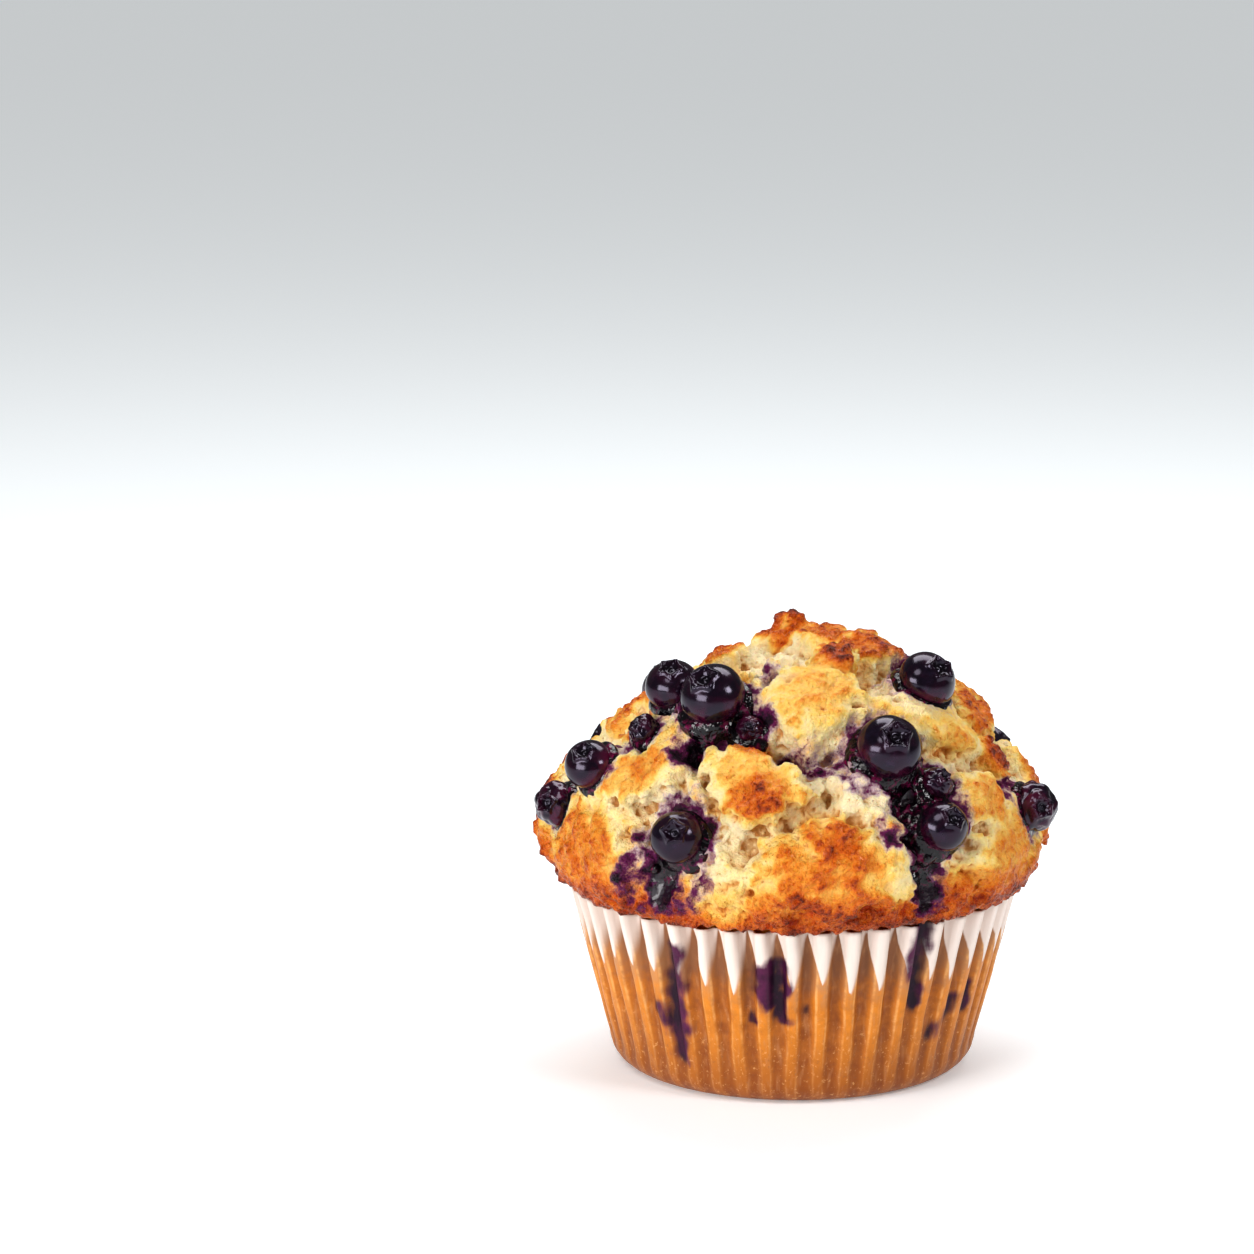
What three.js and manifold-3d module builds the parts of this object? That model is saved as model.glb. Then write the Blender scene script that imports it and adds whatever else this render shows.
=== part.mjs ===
// A large bakery muffin: a craggy crown with whole and burst berries baked into it, standing in its fluted paper case.
// Millimetres, +Z up. The origin is the centre of the case's flat underside, and -Y is the front.
import * as THREE from "three";
import { mergeVertices } from "three/addons/utils/BufferGeometryUtils.js";
import Module from "manifold-3d";

const wasm = await Module();
wasm.setup();

// Driving dimensions of the paper case
const CASE_HEIGHT = 36.3;
const CASE_RIM_RADIUS = 43.9; // to the outside of a ridge
const CASE_LEAN = Math.tan(THREE.MathUtils.degToRad(14.7)); // how far the wall leans out for each unit of height
const BASE_FLAT_RADIUS = 30;
const BASE_CORNER = 5.5; // height of the rounded corner between base and wall
const FLUTES = 45;
const FLUTE_DEPTH = 2.3; // from ridge to valley, at the rim
const PAPER = 0.4;
const RIDGE_HALF = 32; // half the width of a ridge's flat crest, in degrees of one flute's turn

// Driving dimensions of the crown
const WAIST_Z = 45; // height of the crown's widest ring
const CROWN_RADIUS = 48.6;
const CROWN_RISE = 40; // from the waist to the top
const LIP_RADIUS = 44.6; // outer edge of the flat ring that lies over the case's rim
const LIP_GAP = 0.7; // between the case's rim and the crown above it
const GAP = 0.35; // between pieces that touch
const TORN_DEPTH = 2.3; // how far the torn crumb lies below the dome
const DEEPEST = 9; // the most that any hollow sinks
const BUMP_HEIGHT = 0.55;

// Facets
const DOME_EDGE = 3.25; // length of a facet's side on the crown
const DOME_ROWS = 24;
const LIP_ROWS = 3;
const HIDDEN_SIDES = 60; // of the body inside the case
const BERRY_SIDES = 15; // three to each of the five lobes of the blossom end

const rad = THREE.MathUtils.degToRad;
const smooth = THREE.MathUtils.smoothstep;

// Raised crags of baked crust. az is the bearing round the crown, 0 at the front and growing to the right, and pol
// the angle down from the top; across and along are half widths, and turn rolls the crag clockwise.
const FRONT_CRAGS = [
  { az: 110, pol: 8, across: 12, along: 7.5, turn: 0, rise: 1.4 }, // ridge along the top
  { az: 70, pol: 19, across: 8.5, along: 6.5, turn: 20, rise: 4.2 }, // its right end
  { az: 206, pol: 10, across: 5.6, along: 4.8, turn: 0, rise: 1.3 }, // foot of the peak
  { az: 189, pol: 9, across: 2.9, along: 3, turn: 0, rise: 4.7 }, // peak
  { az: -76, pol: 18, across: 7, along: 5, turn: -20, rise: 2.6 }, // left end of the ridge
  { az: 8, pol: 35, across: 12.5, along: 11, turn: 0, rise: 4 }, // upper mound
  { az: 24, pol: 22, across: 5.5, along: 4.6, turn: 0, rise: 4.9 }, // its browned tip
  { az: -12, pol: 59, across: 12, along: 8, turn: 12, rise: 3.2 }, // centre plate
  { az: -7, pol: 65, across: 5.5, along: 3.8, turn: 0, rise: 4 }, // its browned tip
  { az: 8, pol: 83, across: 20, along: 9.5, turn: -6, rise: 2.9 }, // front plate
  { az: -56, pol: 84, across: 18, along: 11.5, turn: 0, rise: 1.2 }, // left shoulder
  { az: -45, pol: 62, across: 13, along: 6, turn: -28, rise: 2.6 }, // left ridge
  { az: -40, pol: 50, across: 7, along: 5.5, turn: -20, rise: 1.8 }, // left upper lump
  { az: 50, pol: 45, across: 17, along: 6.5, turn: 24, rise: 2.9 }, // right plate
  { az: 72, pol: 61, across: 4, along: 5.5, turn: 0, rise: 2.4 }, // right tip
  { az: 52, pol: 69, across: 7.5, along: 6.5, turn: 20, rise: 1.9 }, // lump beside the lower right berry
  { az: 62, pol: 86, across: 15, along: 11.5, turn: 0, rise: 1.6 }, // right shoulder
  { az: -68, pol: 46, across: 12, along: 7, turn: -10, rise: -0.8 }, // rim at the back left
  { az: 88, pol: 48, across: 13, along: 7, turn: 0, rise: 3.6 }, // rim at the back right
  { az: 18, pol: 66, across: 6, along: 6, turn: 0, rise: 1.2 }, // torn crumb right of the centre
  { az: -13, pol: 87, across: 6, along: 6, turn: 0, rise: 0.9 }, // pale lump left of the front plate
];
const BACK_CRAG_ROWS = [
  { pol: 82, bearings: [104, 140, 178, 216, 254], across: 17, along: 10.5 },
  { pol: 50, bearings: [120, 158, 198, 240], across: 14, along: 8.5 },
];

// Cracks, each a chain of [az, pol] points
const CRACKS = [
  { path: [[-18, 47], [-1, 50], [16, 49], [26, 48]], deep: 4.6, wide: 2.4 }, // under the upper mound
  { path: [[-12, 79], [-5, 74], [2, 70], [9, 63]], deep: 3.4, wide: 2 }, // between centre and front plates
  { path: [[-30, 50], [-26, 63], [-18, 73]], deep: 1.8, wide: 2.2 }, // left of the centre plate
  { path: [[27, 48], [29, 63], [31, 79], [34, 93]], deep: 2.4, wide: 3 }, // right-hand run of juice
  { path: [[-19, 36], [-29, 48], [-31, 53]], deep: 2, wide: 2.6 }, // upper left juice
  { path: [[-28, 76], [-31, 84], [-34, 94]], deep: 2.4, wide: 3.2 }, // lower left run of juice
  { path: [[60, 15], [34, 30], [27, 44]], deep: 1.4, wide: 1.8 }, // right of the upper mound
  { path: [[120, 66], [160, 64], [200, 67], [235, 63]], deep: 2.2, wide: 2.4 }, // across the back
];

// The dome is lower towards the back at both sides
const HOLLOWS = [
  { az: -98, pol: 40, across: 27, along: 21, drop: 7.4 },
  { az: 86, pol: 48, across: 20, along: 22, drop: 4.6 },
];

// Berries seen in front: lift is the height of the centre over the dome, and calyx is [az, elevation] of the blossom end
const FRONT_BERRIES = [
  { az: -52, pol: 36, lift: 1.6, size: 10.6, calyx: [-12, 62] },
  { az: -29, pol: 38, lift: 3.2, size: 12.6, calyx: [-31, 49] },
  { az: 58, pol: 36, lift: 2.5, size: 11.4, calyx: [46, 41] },
  { az: 27, pol: 52, lift: 2, size: 12.6, calyx: [19, 38] },
  { az: 37, pol: 74, lift: 0.5, size: 9.8, calyx: [36, 34] },
  { az: -60, pol: 63, lift: 2, size: 9.8, calyx: [-28, 50] },
  { az: -28, pol: 76, lift: -0.5, size: 10.2, calyx: [-9, 27] },
];
const BURST_BERRIES = [
  { az: 73, pol: 77, lift: 1, size: 9.8, calyx: [24, 12] },
  { az: -73, pol: 77, lift: 0.5, size: 9, calyx: [-32, 17] },
  { az: 39.5, pol: 62.5, lift: -0.2, size: 6.2, calyx: [50, 40] },
  { az: -15, pol: 43, lift: -1.4, size: 5.4, calyx: [0, 30] },
  { az: -52, pol: 49, lift: -0.4, size: 6, calyx: [-70, 30] },
];
const BACK_BERRY_ROWS = [
  { pol: 76, bearings: [128, 160, 198, 232] },
  { pol: 57, bearings: [140, 200, 220] },
  { pol: 44, bearings: [180] },
];
const BERRY_SIZE = 11; // mean width of a back berry
const BERRY_OBLATE = 0.87; // height of a berry over its width
const SUNK = 0.09; // height of a berry's centre over the crumb round it, in its own widths

const COLOURS = {
  crust: { color: 0xdfa04f, roughness: 0.75, metalness: 0 },
  paper: { color: 0xd9b78c, roughness: 0.6, metalness: 0 },
  berry: { color: 0x1d1230, roughness: 0.25, metalness: 0 },
};

// A number from 0 to 1 that looks random and is the same for the same i.
function chance(i) {
  const s = Math.sin(i * 12.9898 + 4.1) * 43758.5453;
  return s - Math.floor(s);
}

// A smooth field of lumps about `size` apart, from about -1 to 1.
function lumps(p, size, phase) {
  const k = Math.PI / size;
  const a = Math.sin(k * (0.92 * p.x + 0.39 * p.z) + phase) * Math.sin(k * (0.88 * p.y - 0.47 * p.z) + 2.1 * phase);
  const b = Math.sin(k * 1.7 * (0.5 * p.x - 0.8 * p.y) + 3.3 * phase) * Math.sin(k * 1.6 * (0.9 * p.z + 0.3 * p.y));
  return 0.65 * a + 0.5 * b;
}

// A point at a bearing and an angle down from the top, `lift` above the smooth dome.
function domePoint(az, pol, lift = 0) {
  const r = (CROWN_RADIUS + lift) * Math.sin(rad(pol));
  return new THREE.Vector3(
    r * Math.sin(rad(az)),
    -r * Math.cos(rad(az)),
    WAIST_Z + (CROWN_RISE + lift) * Math.cos(rad(pol)),
  );
}

// The outward direction of the smooth dome at a point on it. Below the waist it is level.
function domeNormal(p) {
  const up = Math.max(p.z - WAIST_Z, 0) / CROWN_RISE ** 2;
  return new THREE.Vector3(p.x / CROWN_RADIUS ** 2, p.y / CROWN_RADIUS ** 2, up).normalize();
}

// A patch of the dome with its own axes, which tells how far a point lies from its middle, 1 at its edge.
function patch({ az, pol, across, along, turn = 0 }) {
  const centre = domePoint(az, Math.min(pol, 90));
  centre.z -= Math.max(pol - 90, 0) * rad(1) * CROWN_RADIUS;
  const normal = domeNormal(centre);
  const right = new THREE.Vector3(Math.cos(rad(az)), Math.sin(rad(az)), 0);
  const upward = new THREE.Vector3().crossVectors(normal, right);
  right.applyAxisAngle(normal, -rad(turn));
  upward.applyAxisAngle(normal, -rad(turn));
  return (p) => {
    const d = p.clone().sub(centre);
    const x = d.dot(right) / across;
    const y = d.dot(upward) / along;
    const n = d.dot(normal) / (1.2 * Math.max(across, along));
    return Math.sqrt(x * x + y * y + n * n);
  };
}

function backCrags() {
  const crags = [];
  for (const { pol, bearings, across, along } of BACK_CRAG_ROWS) {
    for (const az of bearings) {
      const i = az + pol;
      crags.push({
        az: az + 8 * (chance(i) - 0.5),
        pol: pol + 6 * (chance(i + 1) - 0.5),
        across: across * (0.85 + 0.3 * chance(i + 2)),
        along: along * (0.85 + 0.3 * chance(i + 3)),
        turn: 40 * (chance(i + 4) - 0.5),
        rise: 1.4 + 1.2 * chance(i + 5),
      });
    }
  }
  return crags;
}

function backBerries() {
  const berries = [];
  for (const { pol, bearings } of BACK_BERRY_ROWS) {
    for (const az of bearings) {
      const i = 3 * az + pol;
      berries.push({
        az: az + 6 * (chance(i) - 0.5),
        pol: pol + 6 * (chance(i + 1) - 0.5),
        lift: 1.8 * chance(i + 2) - 0.8,
        size: BERRY_SIZE + 2.2 * (chance(i + 3) - 0.5),
        calyx: [az + 60 * (chance(i + 4) - 0.5), 20 + 40 * chance(i + 5)],
      });
    }
  }
  return berries;
}

const BERRIES = [...FRONT_BERRIES, ...backBerries()];
const ALL_BERRIES = [...BERRIES, ...BURST_BERRIES];
const CRAGS = [...FRONT_CRAGS, ...backCrags()].map((c) => ({ ...c, reach: patch(c) }));
const CRACK_LINES = CRACKS.map((c) => ({ ...c, points: c.path.map(([az, pol]) => domePoint(az, pol)) }));
const LOW_PLACES = HOLLOWS.map((h) => ({ ...h, reach: patch(h) }));
const SEATS = ALL_BERRIES.map((b) => ({ ...b, centre: domePoint(b.az, b.pol) }));

function distanceToChain(p, points) {
  const near = new THREE.Vector3();
  let best = Infinity;
  for (let i = 0; i + 1 < points.length; i++) {
    new THREE.Line3(points[i], points[i + 1]).closestPointToPoint(p, true, near);
    best = Math.min(best, near.distanceTo(p));
  }
  return best;
}

// How far the crown's surface stands out from the smooth dome at a point.
function relief(p) {
  const edge = 0.16 * lumps(p, 5.5, 0.7) + 0.08 * lumps(p, 2.6, 1.9);
  let crag = 0;
  for (const { reach, rise } of CRAGS) {
    const d = reach(p) + edge;
    crag = Math.max(crag, (rise + TORN_DEPTH) * (1 - smooth(d, 0.78, 1.1)) * (1 - 0.22 * Math.min(d, 1) ** 2));
  }
  let h = crag - TORN_DEPTH + BUMP_HEIGHT * lumps(p, 3.6, 0.4);
  for (const { points, deep, wide } of CRACK_LINES) h -= deep * Math.exp(-((distanceToChain(p, points) / wide) ** 2));
  for (const { drop, reach } of LOW_PLACES) h -= drop * Math.exp(-(reach(p) ** 2));
  for (const { centre, lift, size } of SEATS) {
    const level = lift - SUNK * size;
    h = THREE.MathUtils.lerp(level, h, smooth(centre.distanceTo(p), 0.42 * size, 0.5 * size + 3.5));
  }
  return h;
}

// The radius of the case's wall half-way between ridge and valley, and the depth of its flutes, at a height.
function wallAt(z) {
  const ridge = CASE_RIM_RADIUS - CASE_LEAN * (CASE_HEIGHT - z);
  const depth = FLUTE_DEPTH * smooth(z, -6, CASE_HEIGHT);
  return { middle: ridge - depth / 2, depth };
}

// Stitches rings of points into one closed skin. The rings may differ in number of points, each begins at the same
// bearing with its points evenly spread, and the first and last are single points.
function skin(rings) {
  const positions = rings.flat().flatMap((p) => p.toArray());
  const faces = [];
  let start = 0;
  for (let k = 0; k + 1 < rings.length; k++) {
    const a = rings[k].length;
    const b = rings[k + 1].length;
    const lower = (i) => start + (i % a);
    const upper = (j) => start + a + (j % b);
    let i = 0;
    let j = 0;
    while ((a > 1 && i < a) || (b > 1 && j < b)) {
      const stepLower = b === 1 || (a > 1 && i < a && (i + 1) / a <= (j + 1) / b);
      if (stepLower) {
        faces.push(lower(i), lower(i + 1), upper(j));
        i++;
      } else {
        faces.push(lower(i), upper(j + 1), upper(j));
        j++;
      }
    }
    start += a;
  }
  const geometry = new THREE.BufferGeometry();
  geometry.setAttribute("position", new THREE.Float32BufferAttribute(positions, 3));
  geometry.setIndex(faces);
  return geometry;
}

function toSolid(geometry) {
  const bare = geometry.clone();
  bare.deleteAttribute("normal");
  bare.deleteAttribute("uv");
  const merged = mergeVertices(bare, 1e-4);
  return new wasm.Manifold(
    new wasm.Mesh({
      numProp: 3,
      vertProperties: merged.attributes.position.array,
      triVerts: new Uint32Array(merged.index.array),
    }),
  );
}

function toGeometry(solid) {
  const mesh = solid.getMesh();
  const geometry = new THREE.BufferGeometry();
  geometry.setAttribute("position", new THREE.BufferAttribute(new Float32Array(mesh.vertProperties), 3));
  geometry.setIndex(new THREE.BufferAttribute(new Uint32Array(mesh.triVerts), 1));
  return geometry;
}

// One ring of the fluted wall: flat-crested ridges and flat-bottomed valleys.
function flutedRing(radius, depth, z) {
  const ring = [];
  for (let f = 0; f < FLUTES; f++) {
    for (const [phase, side] of [[-RIDGE_HALF, 1], [RIDGE_HALF, 1], [180 - RIDGE_HALF, -1], [180 + RIDGE_HALF, -1]]) {
      const turn = rad((f * 360 + phase) / FLUTES);
      const r = radius + (side * depth) / 2;
      ring.push(new THREE.Vector3(r * Math.sin(turn), -r * Math.cos(turn), z));
    }
  }
  return ring;
}

// The paper case, one thin skin from the middle of its underside up to the rim and down again inside.
function caseGeometry() {
  const foot = wallAt(BASE_CORNER);
  const rows = [{ r: BASE_FLAT_RADIUS, z: 0, depth: 0, inward: 0, upward: 1 }];
  const bend = rad(45);
  rows.push({
    r: BASE_FLAT_RADIUS + (foot.middle - BASE_FLAT_RADIUS) * Math.sin(bend),
    z: BASE_CORNER * (1 - Math.cos(bend)),
    depth: foot.depth * 0.5,
    inward: Math.sin(bend),
    upward: Math.cos(bend),
  });
  for (const z of [BASE_CORNER, 0.45 * CASE_HEIGHT, CASE_HEIGHT]) {
    const { middle, depth } = wallAt(z);
    rows.push({ r: middle, z, depth, inward: 1, upward: 0 });
  }
  const outer = rows.map(({ r, z, depth }) => flutedRing(r, depth, z));
  const inner = rows.map(({ r, z, depth, inward, upward }) =>
    flutedRing(r - PAPER * inward, depth, z + PAPER * upward),
  );
  return skin([[new THREE.Vector3(0, 0, 0)], ...outer, ...inner.reverse(), [new THREE.Vector3(0, 0, PAPER)]]);
}

function ringOf(r, z, sides) {
  const ring = [];
  for (let i = 0; i < sides; i++) {
    const turn = (2 * Math.PI * i) / sides;
    ring.push(new THREE.Vector3(r * Math.sin(turn), -r * Math.cos(turn), z));
  }
  return ring;
}

// A ring of the crown, with its points about one facet's side apart, pushed out by a share of the relief.
function crownRing(r, z, share) {
  const sides = Math.max(6, Math.round((2 * Math.PI * r) / DOME_EDGE));
  const depthAt = (p) => Math.max(relief(p) * share, -DEEPEST);
  return ringOf(r, z, sides).map((p) => p.clone().addScaledVector(domeNormal(p), depthAt(p)));
}

// The body of the muffin, from the middle of its underside up the inside of the case, over the rim and up the dome.
function bodyGeometry() {
  const lipZ = CASE_HEIGHT + LIP_GAP;
  const insideAt = (z) => {
    const { middle, depth } = wallAt(z);
    return middle - depth / 2 - PAPER - GAP;
  };
  const baseZ = PAPER + GAP;
  const rings = [[new THREE.Vector3(0, 0, baseZ)], ringOf(BASE_FLAT_RADIUS - 1, baseZ, HIDDEN_SIDES)];
  for (const z of [BASE_CORNER, CASE_HEIGHT]) rings.push(ringOf(insideAt(z), z, HIDDEN_SIDES));
  const lipSides = Math.round((2 * Math.PI * LIP_RADIUS) / DOME_EDGE);
  rings.push(ringOf(insideAt(CASE_HEIGHT), lipZ, HIDDEN_SIDES), ringOf(LIP_RADIUS, lipZ, lipSides));
  for (let k = 1; k < LIP_ROWS; k++) {
    const turn = rad((90 * k) / LIP_ROWS);
    const r = LIP_RADIUS + (CROWN_RADIUS - LIP_RADIUS) * Math.sin(turn);
    rings.push(crownRing(r, WAIST_Z - (WAIST_Z - lipZ) * Math.cos(turn), k / LIP_ROWS));
  }
  for (let k = 0; k < DOME_ROWS; k++) {
    const level = domePoint(0, 90 * (1 - k / DOME_ROWS));
    rings.push(crownRing(-level.y, level.z, 1));
  }
  const top = domePoint(0, 0);
  rings.push([top.clone().addScaledVector(domeNormal(top), relief(top))]);
  return skin(rings);
}

// A berry at the origin with its blossom end along +Z: a flattened ball with a five-lobed lip round a small hollow.
function berryGeometry({ size }) {
  const a = size / 2;
  const b = a * BERRY_OBLATE;
  const rings = [[new THREE.Vector3(0, 0, -b)]];
  for (const polar of [145, 108, 75, 44]) rings.push({ r: a * Math.sin(rad(polar)), z: b * Math.cos(rad(polar)) });
  rings.push({ r: 0.42 * a, z: 0.99 * b, lobed: 0.07 * a }, { r: 0.27 * a, z: 0.84 * b });
  const round = rings.slice(1).map(({ r, z, lobed = 0 }) => {
    const ring = [];
    for (let i = 0; i < BERRY_SIDES; i++) {
      const turn = (2 * Math.PI * i) / BERRY_SIDES;
      const out = r + lobed * Math.cos(5 * turn);
      ring.push(new THREE.Vector3(out * Math.cos(turn), out * Math.sin(turn), z));
    }
    return ring;
  });
  return skin([rings[0], ...round, [new THREE.Vector3(0, 0, 0.74 * b)]]);
}

function berryMesh(berry, name) {
  const mesh = new THREE.Mesh(berryGeometry(berry), new THREE.MeshStandardMaterial(COLOURS.berry));
  mesh.name = name;
  mesh.position.copy(domePoint(berry.az, berry.pol, berry.lift));
  const [az, elevation] = berry.calyx.map(rad);
  const blossom = new THREE.Vector3(
    Math.cos(elevation) * Math.sin(az),
    -Math.cos(elevation) * Math.cos(az),
    Math.sin(elevation),
  );
  mesh.quaternion.setFromUnitVectors(new THREE.Vector3(0, 0, 1), blossom);
  return mesh;
}

// The solid that a berry's pocket is cut with: the berry itself, a little larger all round.
function pocketSolid(mesh, size) {
  const grow = 1 + (2 * (GAP + 0.05)) / size;
  mesh.updateMatrix();
  const larger = mesh.geometry.clone().scale(grow, grow, grow).applyMatrix4(mesh.matrix);
  return toSolid(larger);
}

function muffin() {
  const group = new THREE.Group();
  const paper = new THREE.Mesh(caseGeometry(), new THREE.MeshStandardMaterial(COLOURS.paper));
  paper.name = "paper_case";
  group.add(paper);

  let body = toSolid(bodyGeometry());
  const number = (i) => String(i + 1).padStart(2, "0");
  const named = [
    ...BERRIES.map((b, i) => ({ b, name: `berry_${number(i)}` })),
    ...BURST_BERRIES.map((b, i) => ({ b, name: `burst_berry_${number(i)}` })),
  ];
  for (const { b, name } of named) {
    const mesh = berryMesh(b, name);
    body = body.subtract(pocketSolid(mesh, b.size));
    group.add(mesh);
  }
  const crumb = new THREE.Mesh(toGeometry(body), new THREE.MeshStandardMaterial(COLOURS.crust));
  crumb.name = "muffin";
  group.add(crumb);
  return group;
}

export default muffin();
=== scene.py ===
"""The looks of a large bakery muffin with berries baked into it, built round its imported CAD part.

Shapes are worked out in millimetres and become metres when a mesh is made. The crown stands on the same dome, crags,
cracks and seats as the part's own solid, so the two have one form.
"""

import logging
import math
from dataclasses import dataclass
from enum import Enum
from functools import cached_property

import bmesh
import bpy
import numpy as np
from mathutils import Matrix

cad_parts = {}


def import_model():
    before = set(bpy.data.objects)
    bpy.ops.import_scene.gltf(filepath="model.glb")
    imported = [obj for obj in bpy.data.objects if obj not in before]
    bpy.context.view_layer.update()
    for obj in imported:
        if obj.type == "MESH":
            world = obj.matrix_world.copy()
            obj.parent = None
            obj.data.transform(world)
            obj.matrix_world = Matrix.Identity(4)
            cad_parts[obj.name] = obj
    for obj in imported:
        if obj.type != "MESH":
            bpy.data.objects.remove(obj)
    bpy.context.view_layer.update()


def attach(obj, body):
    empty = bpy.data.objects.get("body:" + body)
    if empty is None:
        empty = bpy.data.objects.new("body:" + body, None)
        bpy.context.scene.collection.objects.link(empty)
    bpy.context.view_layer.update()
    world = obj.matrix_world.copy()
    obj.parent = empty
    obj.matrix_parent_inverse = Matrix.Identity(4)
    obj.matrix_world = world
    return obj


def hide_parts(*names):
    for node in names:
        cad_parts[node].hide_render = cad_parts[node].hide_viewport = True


log = logging.getLogger("muffin")

MM = 0.001
ROOT = "root"

Points = np.ndarray
Numbers = np.ndarray
Colour = tuple[float, float, float, float]


class Slot(Enum):
    """The record's material slots."""

    CRUST = "crust"
    PAPER = "paper"
    BERRY = "berry"


# Numbers and noise


def chance(i: float) -> float:
    """A number from 0 to 1 that looks random and is the same for the same i, as in the part."""
    s = math.sin(i * 12.9898 + 4.1) * 43758.5453
    return s - math.floor(s)


def smooth(value: Numbers, low: float, high: float) -> Numbers:
    """A soft step from 0 at `low` to 1 at `high`."""
    t = np.clip((value - low) / (high - low), 0.0, 1.0)
    return t * t * (3.0 - 2.0 * t)


def mixed(a: Numbers, b: Numbers, share: Numbers) -> Numbers:
    """A blend from a to b."""
    return a + (b - a) * share


def paint(red: float, green: float, blue: float) -> Colour:
    """A screen colour from 0 to 255 as the linear colour that a shader takes.

    Args:
        red, green, blue: The colour as it looks on a screen.

    Returns:
        The linear colour with full alpha.
    """
    channels = []
    for level in (red, green, blue):
        c = level / 255.0
        channels.append(c / 12.92 if c <= 0.04045 else ((c + 0.055) / 1.055) ** 2.4)
    return (channels[0], channels[1], channels[2], 1.0)


@dataclass(frozen=True)
class Noise:
    """Smooth and grainy noise on points, the same for the same seed."""

    seed: int

    def _cell_chance(self, cells: Points, channel: int) -> Numbers:
        """A number from 0 to 1 for each cell of a grid."""
        c = cells.astype(np.int64).astype(np.uint32)
        code = c[:, 0] * np.uint32(73856093)
        code ^= c[:, 1] * np.uint32(19349663)
        code ^= c[:, 2] * np.uint32(83492791)
        code ^= np.uint32((self.seed * 7919 + channel * 104729) % 2**32)
        for shift in (15, 13, 16):
            code ^= code >> np.uint32(shift)
            code *= np.uint32(2246822519)
        return code / 2.0**32

    def soft(self, points: Points, size: float) -> Numbers:
        """Gentle swells.

        Args:
            points: Places, one a row.
            size: Distance from swell to swell.

        Returns:
            A height for each place, from about -1 to 1.
        """
        q = points / size + 0.37 * self.seed
        base = np.floor(q)
        part = q - base
        fade = part**3 * (part * (part * 6.0 - 15.0) + 10.0)
        total = np.zeros(len(points))
        for corner in np.ndindex(2, 2, 2):
            offset = np.array(corner)
            weight = np.prod(np.where(offset == 1, fade, 1.0 - fade), axis=1)
            away = part - offset
            slope = sum((2.0 * self._cell_chance(base + offset, k) - 1.0) * away[:, k] for k in range(3))
            total += weight * slope
        return 1.6 * total

    def rough(self, points: Points, size: float, layers: int = 3) -> Numbers:
        """Swells on swells, each layer half as large and about half as high as the last."""
        total = np.zeros(len(points))
        share = 1.0
        for layer in range(layers):
            total += share * Noise(self.seed + 31 * layer).soft(points, size / 2**layer)
            share *= 0.52
        return total

    def creases(self, points: Points, size: float) -> Numbers:
        """Sharp-crested folds, 1 along the crests."""
        return 1.0 - 2.0 * np.abs(self.soft(points, size))

    def grains(self, points: Points, size: float) -> Numbers:
        """Round grains packed side by side.

        Args:
            points: Places, one a row.
            size: Distance from grain to grain.

        Returns:
            The distance to the nearest grain's centre in grain sizes, 0 there and about 0.7 between grains.
        """
        q = points / size
        base = np.floor(q)
        nearest = np.full(len(points), np.inf)
        for corner in np.ndindex(3, 3, 3):
            cell = base + np.array(corner) - 1.0
            centre = cell + np.stack([self._cell_chance(cell, k) for k in range(3)], axis=1)
            nearest = np.minimum(nearest, np.linalg.norm(centre - q, axis=1))
        return nearest


def lumps(p: Points, size: float, phase: float) -> Numbers:
    """The part's own smooth field of lumps about `size` apart, from about -1 to 1."""
    x, y, z = p[:, 0], p[:, 1], p[:, 2]
    k = math.pi / size
    a = np.sin(k * (0.92 * x + 0.39 * z) + phase) * np.sin(k * (0.88 * y - 0.47 * z) + 2.1 * phase)
    b = np.sin(k * 1.7 * (0.5 * x - 0.8 * y) + 3.3 * phase) * np.sin(k * 1.6 * (0.9 * z + 0.3 * y))
    return 0.65 * a + 0.5 * b


# The form of the crown


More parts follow.
